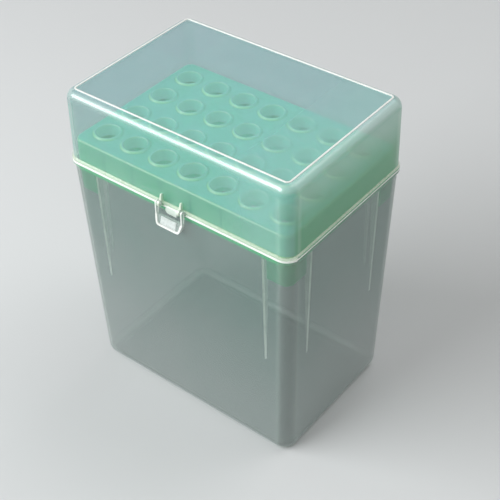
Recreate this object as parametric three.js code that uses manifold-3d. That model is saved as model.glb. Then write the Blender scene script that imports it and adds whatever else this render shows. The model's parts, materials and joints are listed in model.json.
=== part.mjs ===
// Hinged box for large pipette tips, moulded in polypropylene.
// Millimetres, +Z up. Origin: centre of the footprint, on the surface the box stands on.
// +X runs along the box, -Y is the front with the snap latch, +Y the back with the hinges.
import * as THREE from 'three';
import { ConvexGeometry } from 'three/addons/geometries/ConvexGeometry.js';
import { mergeVertices } from 'three/addons/utils/BufferGeometryUtils.js';
import Module from 'manifold-3d';

const wasm = await Module();
wasm.setup();

// ---------- driving dimensions ----------
const caseLength = 126;          // over the rim, along X
const caseWidth = 87;            // over the rim, along Y
const caseHeight = 160;          // standing height with the lid closed
const lidHeight = 36;            // share of the height that is lid
const jointGap = 0.3;            // between lid and body, and between the rack and its seats

const bodyWall = 1.3;            // body
const floorThickness = 1.6;
const bodyTopInset = 1.0;        // wall behind the rim's outer face
const bodyFootInset = 3.7;       // the same at the foot, so the wall has draft
const rimCornerRadius = 7.0;     // outer corner of the rim in plan
const footCornerRadius = 7.3;
const footFillet = 5.0;          // rolled edge between wall and floor
const rimHeight = 1.5;           // bead round the top of the body
const rimUnderside = 0.6;        // slope that runs out of the bead into the wall

const lidWall = 1.2;             // lid
const lidFootInset = 0.75;
const lidTopInset = 1.2;
const lidFillet = 4.5;           // rolled edge between lid wall and top panel
const lidBeadHeight = 1.3;       // bead round the foot of the lid
const lidBeadShoulder = 0.4;     // slope that runs out of the bead into the wall
const ridgeInset = 5.0;          // outer edge of the stacking ridge, from the rim's outer face
const ridgeWidth = 0.8;
const ridgeHeight = 0.35;
const ridgeCornerRadius = 2.2;
const edgeEase = 0.25;           // eased edges of the beads
const ridgeEase = 0.15;

const rackRise = 10.65;          // rack: its top above the body's rim
const rackSkirt = 16.0;          // height of the skirt
const rackLeg = 10.8;            // how far the corner legs reach below the skirt
const legSideX = 11.6;           // leg's length along the long wall
const legSideY = 12.4;           // and along the short wall
const rackWall = 1.3;
const rackPlate = 1.6;
const rackDraft = 0.3;           // how far the skirt leans in towards the top
const rackFillet = 1.2;
const rackRib = 1.0;             // egg-crate ribs under the plate
const rackRibDepth = 12.0;       // below the plate's top face
const sideGap = 0.4;             // between the rack and the body's inner wall

const holeDiameter = 12;         // at the plate's top face
const holeEase = 0.7;            // depth of the eased edge
const holeEaseWidth = 0.5;       // and its width
const collarTaper = 0.3;         // how far the collar closes in, on each side, to its foot
const collarDepth = 5.0;         // below the plate's top face
const collarWall = 1.0;
const columnPitch = 16.6;
const rowPitch = 18.9;
const plateMargin = 3.5;         // least web between a hole and the plate's edge

const finReach = 3.4;            // fins on the body's inner wall that carry the rack
const finThickness = 1.2;
const finHeight = 60;
const finFromEndX = 16;          // fins on the long walls, from the rim's outer face
const finFromEndY = 18;          // fins on the short walls

const hingeSpacing = 72;         // rear hinges, centre to centre
const hingeArmWidth = 10;
const hingeArmHeight = 4.8;      // root of the arm above the lid's lower edge
const hingeLugWidth = 3;
const bossRadius = 2.0;
const hingePinRadius = 1.0;
const pinClearance = 0.3;        // round the pins of hinge and latch
const hingeClearance = 0.35;     // between a boss and the wall beside it
const heelRadius = 3.0;          // heel that stops the open lid
const heelAngle = 125;           // degrees from the front, through up
const openAngle = 110;
const bracketDrop = 6.0;         // foot of the hinge bracket below its top

const pivotProud = 1.05;         // latch pivot in front of the rim's outer face
const pivotRise = 0.85;          // and above the lid's lower edge
const noseRadius = 1.5;          // lugs on the lid that carry the latch
const lugThickness = 1.4;
const lugGussetHeight = 5.0;     // tip of the gusset above the lid's lower edge

const latchPinRadius = 0.7;      // snap latch
const latchBossRadius = 1.2;
const latchArm = 1.1;
const latchHalfWidth = 7.6;
const latchPlate = 1.1;
const latchDrop = 10.4;          // foot of the latch below its pivot
const latchBar = 0.4;            // straight bar under the window, before the finger lip
const lipHalfWidth = 6.4;        // finger lip at its foot
const lipCorner = 1.2;
const lipRim = 0.4;              // raised rim round the finger lip
const padHalfWidth = 4.3;        // textured pad in the finger lip
const padLength = 3.4;
const padHeight = 0.35;

const catchHalfWidth = 3.2;      // catch on the body's rim
const catchReach = 0.45;         // in front of the rim's outer face
const catchHeight = 2.4;         // below the rim bead
const catchLead = 0.8;           // sloping edge at the catch's foot
const catchClearance = 0.35;     // between the catch and the latch bar
const windowGap = 0.4;           // between the catch's foot and the latch bar

// ---------- fineness and tolerances ----------
const cornerSteps = 8;           // segments in a quarter turn in plan
const filletSteps = 5;
const boreSides = 20;
const bossSides = 24;
const leastRadius = 0.3;         // an inner radius that a wall has used up
const mergeTolerance = 1e-5;
const over = 1;                  // how far a cutter runs past the faces it cuts

// ---------- derived places ----------
const halfLength = caseLength / 2;
const halfWidth = caseWidth / 2;
const rimZ = caseHeight - lidHeight - jointGap / 2;        // top of the body
const lidZ = rimZ + jointGap;                              // lower edge of the lid
const panelZ = caseHeight - ridgeHeight;                   // lid's top panel
const hingeY = halfWidth - lidFootInset + bossRadius + hingeClearance;
const hingeZ = (rimZ + lidZ) / 2;
const reach = hingeY + bossRadius - halfWidth;             // hinge and latch stand out alike
const pivotY = -(halfWidth + pivotProud);
const pivotZ = lidZ + pivotRise;
const catchFootZ = rimZ - rimHeight - catchHeight;

// Outer wall's inset behind the rim's outer face at a height, for body and lid.
const bodyInset = (z) => bodyTopInset + (bodyFootInset - bodyTopInset) * (1 - z / rimZ);
const lidInset = (z) => lidFootInset + (lidTopInset - lidFootInset) * (z - lidZ) / (panelZ - lidZ);

// ---------- small tools ----------
const mirrored = [-1, 1];
const span = (centre, half) => [centre - half, centre + half];
const flank = (side, inner, outer) => (side > 0 ? [inner, outer] : [-outer, -inner]);
const joined = (solids) => solids.reduce((sum, solid) => sum.add(solid));

function toSolid(geometry) {
  const bare = geometry.clone();
  bare.deleteAttribute('normal');
  bare.deleteAttribute('uv');
  const merged = mergeVertices(bare, mergeTolerance);
  return new wasm.Manifold(new wasm.Mesh({
    numProp: 3,
    vertProperties: Float32Array.from(merged.attributes.position.array),
    triVerts: Uint32Array.from(merged.index.array),
  }));
}

function toGeometry(solid) {
  const mesh = solid.getMesh();
  const geometry = new THREE.BufferGeometry();
  geometry.setAttribute('position', new THREE.BufferAttribute(mesh.vertProperties, 3));
  geometry.setIndex(new THREE.BufferAttribute(mesh.triVerts, 1));
  geometry.computeVertexNormals();
  return geometry;
}

// Rounded rectangle in plan, anticlockwise, at an inset behind the rim's outer face.
function ring(inset, radius, z) {
  const quarters = [[1, 1], [-1, 1], [-1, -1], [1, -1]];
  return quarters.flatMap(([sx, sy], quarter) => Array.from({ length: cornerSteps + 1 }, (_, step) => {
    const angle = (quarter + step / cornerSteps) * Math.PI / 2;
    return new THREE.Vector3(
      sx * (halfLength - inset - radius) + radius * Math.cos(angle),
      sy * (halfWidth - inset - radius) + radius * Math.sin(angle),
      z,
    );
  }));
}

// Closed solid through a stack of rings, lowest first.
function loft(rings) {
  const count = rings[0].length;
  const top = (rings.length - 1) * count;
  const index = [];
  for (let level = 0; level < rings.length - 1; level += 1) {
    for (let i = 0; i < count; i += 1) {
      const a = level * count + i;
      const b = level * count + (i + 1) % count;
      index.push(a, b, b + count, a, b + count, a + count);
    }
  }
  for (let i = 1; i < count - 1; i += 1) {
    index.push(0, i + 1, i);
    index.push(top, top + i, top + i + 1);
  }
  const geometry = new THREE.BufferGeometry().setFromPoints(rings.flat());
  geometry.setIndex(index);
  return toSolid(geometry);
}

// Rings of a rolled edge at the foot (turn -1) or the top (turn 1) of a wall, lowest first.
function rolledEdge(inset, corner, radius, z, turn) {
  const rings = Array.from({ length: filletSteps + 1 }, (_, step) => {
    const angle = (step / filletSteps) * Math.PI / 2;
    const pull = radius * (1 - Math.cos(angle));
    const level = z + turn * radius * (Math.sin(angle) - 1);
    return ring(inset + pull, Math.max(corner - pull, leastRadius), level);
  });
  return turn > 0 ? rings : rings.reverse();
}

function box(x0, x1, y0, y1, z0, z1) {
  const geometry = new THREE.BoxGeometry(x1 - x0, y1 - y0, z1 - z0);
  geometry.translate((x0 + x1) / 2, (y0 + y1) / 2, (z0 + z1) / 2);
  return toSolid(geometry);
}

// Convex prism along X from an outline of [y, z] points.
function prism(outline, x0, x1) {
  const points = [x0, x1].flatMap((x) => outline.map(([y, z]) => new THREE.Vector3(x, y, z)));
  return toSolid(new ConvexGeometry(points));
}

// Points of a circle in the YZ plane.
function circle(y, z, radius) {
  return Array.from({ length: bossSides }, (_, i) => {
    const angle = (i / bossSides) * 2 * Math.PI;
    return [y + radius * Math.cos(angle), z + radius * Math.sin(angle)];
  });
}

const rod = (y, z, radius, x0, x1) => prism(circle(y, z, radius), x0, x1);

// Solid turned about an upright axis from [radius, z] points, lowest first.
function turned(x, y, profile) {
  const outline = [[0, profile[0][1]], ...profile, [0, profile[profile.length - 1][1]]];
  const geometry = new THREE.LatheGeometry(outline.map(([r, z]) => new THREE.Vector2(r, z)), boreSides);
  geometry.rotateX(Math.PI / 2);
  geometry.translate(x, y, 0);
  return toSolid(geometry);
}

// ---------- rear hinges ----------
const hingeCentres = mirrored.map((side) => side * hingeSpacing / 2);

// Tip of the heel on the lid's arm after a turn of the lid, in degrees.
function heelTip(turn) {
  const angle = THREE.MathUtils.degToRad(heelAngle + turn);
  return [hingeY - heelRadius * Math.cos(angle), hingeZ + heelRadius * Math.sin(angle)];
}

const bridgeZ = heelTip(openAngle)[1] - jointGap;          // face that the heel comes to rest on

// Bracket on the body: lugs that hold the pin, joined by a bridge under the arm.
const bracketRoot = halfWidth - bodyInset(bridgeZ) - bodyWall / 2;
const bracketFoot = [
  [hingeY + bossRadius, bridgeZ - bossRadius / 2],
  [bracketRoot, bridgeZ - bracketDrop],
];

function hingeLug(x0, x1) {
  const root = [bracketRoot, bridgeZ - bossRadius];
  return prism([...circle(hingeY, hingeZ, bossRadius), root, ...bracketFoot], x0, x1);
}

function hingeBridge(x0, x1) {
  return prism([[bracketRoot, bridgeZ], [hingeY + bossRadius, bridgeZ], ...bracketFoot], x0, x1);
}

function addBodyHinge(body, centre) {
  const [a0, a1] = span(centre, hingeArmWidth / 2 + jointGap);
  const [b0, b1] = span(centre, hingeArmWidth / 2 + jointGap + hingeLugWidth);
  return body
    .subtract(rod(hingeY, hingeZ, hingeY - halfWidth + bodyTopInset, a0, a1))
    .add(hingeLug(b0, a0))
    .add(hingeLug(a1, b1))
    .add(hingeBridge(a0 - hingeLugWidth / 2, a1 + hingeLugWidth / 2))
    .subtract(rod(hingeY, hingeZ, hingePinRadius + pinClearance, b0 - over, b1 + over));
}

function addLidHinge(lid, centre) {
  const root = halfWidth - lidFootInset - lidWall / 2;
  const [a0, a1] = span(centre, hingeArmWidth / 2);
  const [p0, p1] = span(centre, hingeArmWidth / 2 + jointGap + hingeLugWidth);
  const arm = prism([
    ...circle(hingeY, hingeZ, bossRadius),
    heelTip(0),
    [root, lidZ + lidBeadHeight],
    [root, lidZ + hingeArmHeight],
  ], a0, a1);
  const relief = rod(hingeY, hingeZ, bossRadius + hingeClearance, p0 - jointGap, p1 + jointGap);
  return lid
    .subtract(relief)
    .add(arm)
    .add(rod(hingeY, hingeZ, hingePinRadius, p0, p1));
}

// ---------- latch seats ----------
const lugOuter = latchHalfWidth - latchArm - pinClearance;
const lugInner = lugOuter - lugThickness;

// Relief in the body's rim for a lug and the latch arm beside it.
const rimRelief = (side) => rod(
  pivotY, pivotZ, noseRadius + jointGap, ...flank(side, lugInner - jointGap, latchHalfWidth + jointGap),
);

// Lug with its pointed gusset, and the eye for the latch's pin.
function addLatchLug(lid, side) {
  const root = -(halfWidth - lidFootInset - lidWall / 2);
  const lug = prism([
    ...circle(pivotY, pivotZ, noseRadius),
    [root, lidZ + lidBeadHeight],
    [root, lidZ + lugGussetHeight],
  ], ...flank(side, lugInner, lugOuter));
  const armRoom = flank(side, lugOuter, latchHalfWidth + jointGap);
  const pinRoom = flank(side, lugInner - over, latchHalfWidth + jointGap);
  return lid
    .subtract(rod(pivotY, pivotZ, latchBossRadius + jointGap, ...armRoom))
    .add(lug)
    .subtract(rod(pivotY, pivotZ, latchPinRadius + pinClearance, ...pinRoom));
}

// Catch that the latch bar snaps over.
function rimCatch() {
  const face = -(halfWidth + catchReach);
  const rootY = -(halfWidth - bodyInset(rimZ) - bodyWall / 2);
  return prism([
    [rootY, rimZ - edgeEase],
    [-halfWidth, rimZ - edgeEase],
    [face, rimZ - rimHeight],
    [face, catchFootZ + catchLead],
    [-halfWidth, catchFootZ],
    [rootY, catchFootZ - catchLead],
  ], -catchHalfWidth, catchHalfWidth);
}

// ---------- body ----------
// Four fins, two on each of the long walls or the short ones, whose tops carry the rack.
function rackFins(half, place, turn) {
  const topZ = rimZ + rackRise - rackSkirt - jointGap;
  const footZ = topZ - finHeight;
  const skin = (z) => half - bodyInset(z) - bodyWall;
  const buried = bodyWall / 2;
  return mirrored.flatMap((side) => mirrored.map((across) => {
    const outline = [
      [skin(topZ) - finReach, topZ],
      [skin(topZ) + buried, topZ],
      [skin(footZ) + buried, footZ],
      [skin(footZ), footZ],
    ].map(([out, z]) => [side * out, z]);
    return prism(outline, ...span(across * place, finThickness / 2)).rotate([0, 0, turn]);
  }));
}

function bodyHollow() {
  const fillet = Math.max(footFillet - bodyWall, leastRadius);
  const footCorner = Math.max(footCornerRadius - bodyWall, fillet + leastRadius);
  const topCorner = Math.max(rimCornerRadius - bodyTopInset - bodyWall, leastRadius);
  const shoulderZ = floorThickness + fillet;
  return loft([
    ...rolledEdge(bodyFootInset + bodyWall, footCorner, fillet, floorThickness, -1).slice(0, -1),
    ring(bodyInset(shoulderZ) + bodyWall, footCorner, shoulderZ),
    ring(bodyTopInset + bodyWall, topCorner, rimZ),
    ring(bodyTopInset + bodyWall, topCorner, rimZ + over),
  ]);
}

function caseBody() {
  const wallCorner = rimCornerRadius - bodyTopInset;
  let body = loft([
    ...rolledEdge(bodyFootInset, footCornerRadius, footFillet, 0, -1).slice(0, -1),
    ring(bodyInset(footFillet), footCornerRadius, footFillet),
    ring(bodyTopInset, wallCorner, rimZ),
  ]);
  body = body.add(loft([
    ring(bodyTopInset, wallCorner, rimZ - rimHeight - rimUnderside),
    ring(edgeEase, rimCornerRadius - edgeEase, rimZ - rimHeight),
    ring(0, rimCornerRadius, rimZ - rimHeight + edgeEase),
    ring(0, rimCornerRadius, rimZ - edgeEase),
    ring(edgeEase, rimCornerRadius - edgeEase, rimZ),
  ]));
  hingeCentres.forEach((centre) => {
    body = addBodyHinge(body, centre);
  });
  body = body.add(rimCatch()).subtract(joined(mirrored.map(rimRelief)));
  return joined([
    body.subtract(bodyHollow()),
    ...rackFins(halfWidth, halfLength - finFromEndX, 0),
    ...rackFins(halfLength, halfWidth - finFromEndY, 90),
  ]);
}

// ---------- lid ----------
function stackingRidge() {
  const inside = ridgeInset + ridgeWidth;
  const outer = loft([
    ring(ridgeInset, ridgeCornerRadius, panelZ - lidWall / 2),
    ring(ridgeInset, ridgeCornerRadius, caseHeight - ridgeEase),
    ring(ridgeInset + ridgeEase, ridgeCornerRadius - ridgeEase, caseHeight),
  ]);
  const inner = loft([
    ring(inside, ridgeCornerRadius - ridgeWidth, panelZ - lidWall / 2 - over),
    ring(inside, ridgeCornerRadius - ridgeWidth, caseHeight + over),
  ]);
  return outer.subtract(inner);
}

function lidHollow(corner) {
  const fillet = Math.max(lidFillet - lidWall, leastRadius);
  const hollowCorner = Math.max(corner - lidWall, fillet + leastRadius);
  const ceiling = panelZ - lidWall;
  return loft([
    ring(lidFootInset + lidWall, hollowCorner, lidZ - over),
    ring(lidFootInset + lidWall, hollowCorner, lidZ),
    ring(lidInset(ceiling - fillet) + lidWall, hollowCorner, ceiling - fillet),
    ...rolledEdge(lidTopInset + lidWall, hollowCorner, fillet, ceiling, 1).slice(1),
  ]);
}

function caseLid() {
  const corner = rimCornerRadius - lidFootInset;
  const beadZ = lidZ + lidBeadHeight;
  let lid = loft([
    ring(lidFootInset, corner, lidZ),
    ring(lidInset(panelZ - lidFillet), corner, panelZ - lidFillet),
    ...rolledEdge(lidTopInset, corner, lidFillet, panelZ, 1).slice(1),
  ]);
  lid = lid.add(loft([
    ring(edgeEase, rimCornerRadius - edgeEase, lidZ),
    ring(0, rimCornerRadius, lidZ + edgeEase),
    ring(0, rimCornerRadius, beadZ - edgeEase),
    ring(edgeEase, rimCornerRadius - edgeEase, beadZ),
    ring(lidFootInset, corner, beadZ + lidBeadShoulder),
  ]));
  hingeCentres.forEach((centre) => {
    lid = addLidHinge(lid, centre);
  });
  mirrored.forEach((side) => {
    lid = addLatchLug(lid, side);
  });
  return lid.subtract(lidHollow(corner)).add(stackingRidge());
}

// ---------- rack ----------
const rackTopZ = rimZ + rackRise;
const skirtZ = rackTopZ - rackSkirt;
const legZ = skirtZ - rackLeg;
const legInset = bodyInset(legZ) + bodyWall + sideGap;
const skirtInset = bodyInset(skirtZ) + bodyWall + sideGap;
const plateInset = skirtInset + rackDraft;

// Centres of as many holes as fit along a plate, evenly about its middle.
function holePlaces(plate, pitch) {
  const count = Math.floor((plate - 2 * plateMargin - holeDiameter) / pitch) + 1;
  return Array.from({ length: count }, (_, i) => (i - (count - 1) / 2) * pitch);
}

const columnPlaces = holePlaces(caseLength - 2 * plateInset, columnPitch);
const rowPlaces = holePlaces(caseWidth - 2 * plateInset, rowPitch);

// Four-sided skirt with a closed top and a leg at each corner.
function rackShell() {
  const corner = Math.max(rimCornerRadius - bodyTopInset - bodyWall - sideGap, rackWall + leastRadius);
  const outer = loft([
    ring(legInset, corner, legZ),
    ring(skirtInset, corner, skirtZ),
    ...rolledEdge(plateInset, corner, rackFillet, rackTopZ, 1),
  ]);
  const hollow = loft([
    ring(legInset + rackWall, corner - rackWall, legZ - over),
    ring(legInset + rackWall, corner - rackWall, legZ),
    ring(skirtInset + rackWall, corner - rackWall, skirtZ),
    ring(plateInset + rackWall, corner - rackWall, rackTopZ - rackPlate),
  ]);
  const betweenX = halfLength - legInset - legSideX;
  const betweenY = halfWidth - legInset - legSideY;
  return outer
    .subtract(hollow)
    .subtract(box(-betweenX, betweenX, -caseWidth, caseWidth, legZ - over, skirtZ))
    .subtract(box(-caseLength, caseLength, -betweenY, betweenY, legZ - over, skirtZ));
}

// Ribs halfway between the rows and columns of holes.
function rackRibs() {
  const low = rackTopZ - rackRibDepth;
  const high = rackTopZ - rackPlate / 2;
  const endX = halfLength - plateInset - rackWall / 2;
  const endY = halfWidth - plateInset - rackWall / 2;
  const between = (places, pitch) => places.slice(1).map((place) => span(place - pitch / 2, rackRib / 2));
  return [
    ...between(columnPlaces, columnPitch).map(([x0, x1]) => box(x0, x1, -endY, endY, low, high)),
    ...between(rowPlaces, rowPitch).map(([y0, y1]) => box(-endX, endX, y0, y1, low, high)),
  ];
}

function tipRack() {
  const centres = columnPlaces.flatMap((x) => rowPlaces.map((y) => [x, y]));
  const footZ = rackTopZ - collarDepth;
  const throatRadius = holeDiameter / 2 - holeEaseWidth;
  const footRadius = throatRadius - collarTaper;
  const collars = centres.map(([x, y]) => turned(x, y, [
    [footRadius + collarWall, footZ],
    [throatRadius + collarWall, rackTopZ - rackPlate / 2],
  ]));
  const bores = centres.map(([x, y]) => turned(x, y, [
    [footRadius, footZ - over],
    [footRadius, footZ],
    [throatRadius, rackTopZ - holeEase],
    [holeDiameter / 2, rackTopZ],
    [holeDiameter / 2, rackTopZ + over],
  ]));
  return joined([rackShell(), ...rackRibs(), ...collars]).subtract(joined(bores));
}

// ---------- snap latch ----------
const barBackY = -(halfWidth + catchReach + catchClearance);
const barTopZ = catchFootZ - windowGap;
const bendZ = barTopZ - latchBar;

// Arm beside the window, with the boss and pin that turn in the lid's lug.
function latchFlank(side) {
  const armX = flank(side, latchHalfWidth - latchArm, latchHalfWidth);
  const pinX = flank(side, lugInner, latchHalfWidth - latchArm / 2);
  const frontY = barBackY - latchPlate - lipRim;
  return joined([
    rod(pivotY, pivotZ, latchBossRadius, ...armX),
    rod(pivotY, pivotZ, latchPinRadius, ...pinX),
    prism([[barBackY, pivotZ], [frontY, pivotZ], [barBackY, bendZ], [frontY, bendZ]], ...armX),
  ]);
}

// Finger lip: leans out from the bar and narrows towards its foot, with a rim and a pad.
function fingerLip() {
  const footZ = pivotZ - latchDrop;
  const footBackY = -(halfWidth + reach) + lipRim + latchPlate;
  const height = bendZ - footZ;
  const place = (x, drop, proud) => new THREE.Vector3(
    x,
    THREE.MathUtils.lerp(barBackY, footBackY, drop / height) - proud,
    bendZ - drop,
  );
  const slab = (outline, back, front) => toSolid(new ConvexGeometry(
    outline.flatMap(([x, drop]) => mirrored.flatMap((side) => [back, front].map(
      (proud) => place(side * x, drop, proud),
    ))),
  ));
  const outline = (margin, corner) => [
    [latchHalfWidth - margin, 0],
    [lipHalfWidth - margin, height - margin - corner],
    [lipHalfWidth - margin - corner, height - margin],
  ];
  const well = slab(outline(latchArm, lipCorner / 2), latchPlate, latchPlate + 2 * lipRim);
  const pad = slab([[padHalfWidth, 0], [padHalfWidth, padLength]], latchPlate / 2, latchPlate + padHeight);
  return slab(outline(0, lipCorner), 0, latchPlate + lipRim).subtract(well).add(pad);
}

function snapLatch() {
  const frontY = barBackY - latchPlate;
  const bar = box(-latchHalfWidth, latchHalfWidth, frontY, barBackY, bendZ, barTopZ);
  return joined([bar, ...mirrored.map(latchFlank), fingerLip()]);
}

// ---------- scene graph ----------
function part(name, solid, color, roughness, opacity) {
  const finish = { color, roughness, metalness: 0, transparent: true, opacity };
  const material = new THREE.MeshStandardMaterial(finish);
  const mesh = new THREE.Mesh(toGeometry(solid), material);
  mesh.name = name;
  return mesh;
}

const tipBox = new THREE.Group();
tipBox.name = 'pipette_tip_box';
tipBox.add(
  part('box_body', caseBody(), 0xaab8b6, 0.35, 0.45),
  part('lid', caseLid(), 0xb4c4c8, 0.3, 0.4),
  part('tip_rack', tipRack(), 0x52b795, 0.4, 0.9),
  part('snap_latch', snapLatch(), 0xdfe6e2, 0.35, 0.7),
);

export default tipBox;
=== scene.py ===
"""Hinged box for large pipette tips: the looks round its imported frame, laid out as an add-on."""

import itertools
import json
import math
from contextlib import contextmanager

import bmesh
import bpy
from bpy.props import FloatProperty, FloatVectorProperty, IntProperty, PointerProperty
from mathutils import Matrix, Vector


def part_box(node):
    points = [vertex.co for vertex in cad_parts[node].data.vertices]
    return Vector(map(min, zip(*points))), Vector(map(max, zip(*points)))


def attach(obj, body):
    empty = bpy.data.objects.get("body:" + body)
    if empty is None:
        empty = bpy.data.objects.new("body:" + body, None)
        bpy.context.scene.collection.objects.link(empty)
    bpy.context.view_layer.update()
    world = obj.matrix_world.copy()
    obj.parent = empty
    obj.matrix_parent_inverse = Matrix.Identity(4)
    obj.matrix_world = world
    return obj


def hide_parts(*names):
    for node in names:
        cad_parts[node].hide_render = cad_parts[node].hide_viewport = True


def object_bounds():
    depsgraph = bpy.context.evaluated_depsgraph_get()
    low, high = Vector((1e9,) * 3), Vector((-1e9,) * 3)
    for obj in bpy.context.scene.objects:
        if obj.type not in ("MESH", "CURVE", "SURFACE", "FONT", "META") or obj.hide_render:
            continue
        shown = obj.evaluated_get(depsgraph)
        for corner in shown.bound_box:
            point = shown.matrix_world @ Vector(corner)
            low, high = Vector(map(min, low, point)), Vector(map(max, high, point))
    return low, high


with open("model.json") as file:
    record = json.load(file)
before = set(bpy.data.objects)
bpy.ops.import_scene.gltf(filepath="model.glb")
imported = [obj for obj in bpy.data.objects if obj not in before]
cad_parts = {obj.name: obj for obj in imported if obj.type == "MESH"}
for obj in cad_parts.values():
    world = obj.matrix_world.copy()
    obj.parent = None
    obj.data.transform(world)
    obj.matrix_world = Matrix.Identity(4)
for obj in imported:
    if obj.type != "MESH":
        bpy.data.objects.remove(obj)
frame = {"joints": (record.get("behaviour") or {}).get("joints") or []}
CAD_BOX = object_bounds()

bl_info = {
    "name": "Pipette Tip Box",
    "version": (1, 0, 0),
    "blender": (4, 5, 0),
    "location": "3D View > Sidebar > Tip Box",
    "description": "Builds a hinged tip box with its rack, snap latch and studio stage",
    "category": "Object",
}

MM = 0.001
EASE = 0.2 * MM  # rounding of a small solid's edges
MERGE = 0.002 * MM  # nearer than this, two corners are one
PAST = 1 * MM  # how far a cutter runs past what it cuts
CAD_HIGH = CAD_BOX[1]
HINGE = Vector(next(j["pos_m"] for j in frame["joints"] if j["name"] == "lid_hinge"))
PIVOT = Vector(next(j["pos_m"] for j in frame["joints"] if j["name"] == "latch_pivot"))
RACK_LOW, RACK_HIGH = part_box("tip_rack")
LATCH_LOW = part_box("snap_latch")[0]
SIDES = (-1, 1)
WALL, BEAD, THICK, SNAP = range(4)  # material slots: thin wall, white bead, thick plastic, latch side


# ---------- settings ----------
def length(name, millimetres, description):
    """A length that a user may change, given in millimetres and kept in metres."""
    kind = {"min": 0.0, "precision": 5, "unit": "LENGTH"}
    return FloatProperty(name=name, description=description, default=millimetres * MM, **kind)


def angle(name, degrees, description):
    """An angle given in degrees and kept in radians."""
    turn = math.radians(degrees)
    return FloatProperty(name=name, description=description, default=turn, subtype="ANGLE")


def number(name, value, description, low=1):
    return IntProperty(name=name, description=description, default=value, min=low)


def share(name, value, description):
    kind = {"min": 0.0, "max": 1.0, "subtype": "FACTOR"}
    return FloatProperty(name=name, description=description, default=value, **kind)


def colour(name, value, description):
    kind = {"min": 0.0, "max": 1.0, "size": 3, "subtype": "COLOR"}
    return FloatVectorProperty(name=name, description=description, default=value, **kind)


class TipBoxCase(bpy.types.PropertyGroup):
    """What the body and the lid share."""

    size_x: length("Length", 126.0, "Over the rim, along X")
    size_y: length("Width", 87.0, "Over the rim, along Y")
    corner: length("Corner", 7.0, "Outer corner of the rim in plan")
    joint_gap: length("Joint gap", 0.3, "Between the body's rim and the lid's edge")
    edge: length("Edge", 0.3, "Rounding of the two beads")
    corner_steps: number("Corner steps", 16, "Segments in a corner, in plan", 4)
    fillet_steps: number("Fillet steps", 10, "Segments in a rolled edge", 3)


class TipBoxBody(bpy.types.PropertyGroup):
    """The tapered lower half."""

    wall: length("Wall", 1.3, "Wall thickness")
    floor: length("Floor", 1.6, "Floor thickness")
    top_inset: length("Top inset", 1.0, "Wall behind the rim's outer face, at the top")
    foot_inset: length("Foot inset", 3.7, "The same at the foot, so the wall has draft")
    foot_corner: length("Foot corner", 7.3, "Corner of the wall near the floor, in plan")
    foot_fillet: length("Foot fillet", 5.0, "Rolled edge between wall and floor")
    bead: length("Bead", 1.5, "Height of the bead round the rim")
    white_rim: length("White rim", 0.72, "Height of the bead's upper part, which scatters the light")
    slope: length("Slope", 0.6, "Height of the slope under the bead")
    fin_reach: length("Fin reach", 3.4, "How far a rack fin stands in at its top")
    fin_thickness: length("Fin thickness", 1.2, "Thickness of a rack fin")
    fin_height: length("Fin height", 60.0, "Height of a rack fin")
    fin_from_end_x: length("Fin from end, long wall", 16.0, "Fin from the rim's end on the long walls")
    fin_from_end_y: length("Fin from end, short wall", 18.0, "Fin from the rim's end on the short walls")
    catch_half: length("Catch half width", 3.2, "Half the width of the catch")
    catch_reach: length("Catch reach", 0.45, "Catch in front of the rim's outer face")
    catch_height: length("Catch height", 2.4, "Catch below the bead")
    catch_lead: length("Catch lead", 0.8, "Sloping edge at the catch's foot")
    catch_corner: length("Catch corner", 1.3, "Rounding of the catch's lower corners")


class TipBoxLid(bpy.types.PropertyGroup):
    """The hinged lid with its stacking ridge."""

    wall: length("Wall", 1.2, "Wall thickness")
    foot_inset: length("Foot inset", 0.75, "Wall behind the rim's outer face, at the lid's edge")
    top_inset: length("Top inset", 1.2, "The same at the top panel")
    fillet: length("Fillet", 4.5, "Rolled edge between wall and top panel")
    bead: length("Bead", 1.3, "Height of the bead round the lid's edge")
    shoulder: length("Shoulder", 0.4, "Height of the slope above the bead")
    ridge_inset: length("Ridge inset", 5.0, "Outer edge of the ridge, from the rim's outer face")
    ridge_width: length("Ridge width", 0.8, "Width of the stacking ridge")
    ridge_height: length("Ridge height", 0.35, "Height of the stacking ridge")
    ridge_corner: length("Ridge corner", 2.2, "Outer corner of the ridge, in plan")
    lug_thickness: length("Lug thickness", 1.4, "Thickness of a latch lug")
    lug_nose: length("Lug nose", 1.5, "Radius of a latch lug about the latch's pivot")
    lug_gusset: length("Lug gusset", 5.0, "Tip of a latch lug above the lid's edge")
    gusset_reach: length("Gusset reach", 1.1, "How far a gusset stands out past the rim at its foot")
    lug_tip: length("Lug tip", 0.9, "Thickness of a latch lug at its tip")


class TipBoxHinge(bpy.types.PropertyGroup):
    """The two snap hinges at the back."""

    spacing: length("Spacing", 72.0, "Centre to centre")
    arm_width: length("Arm width", 10.0, "Width of the lid's arm")
    arm_height: length("Arm height", 4.8, "Root of the arm above the lid's edge")
    lug_width: length("Lug width", 3.0, "Width of each lug on the body")
    boss: length("Boss radius", 2.0, "Radius round the pin")
    pin: length("Pin radius", 1.0, "Radius of the pin")
    heel: length("Heel radius", 3.0, "Heel that stops the open lid")
    heel_angle: angle("Heel angle", 125, "From the front, through up")
    open_angle: angle("Open angle", 110, "Where the heel meets the bracket")
    bracket: length("Bracket drop", 6.0, "Foot of the bracket below its top")
    clearance: length("Clearance", 0.3, "Round the pins")


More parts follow.
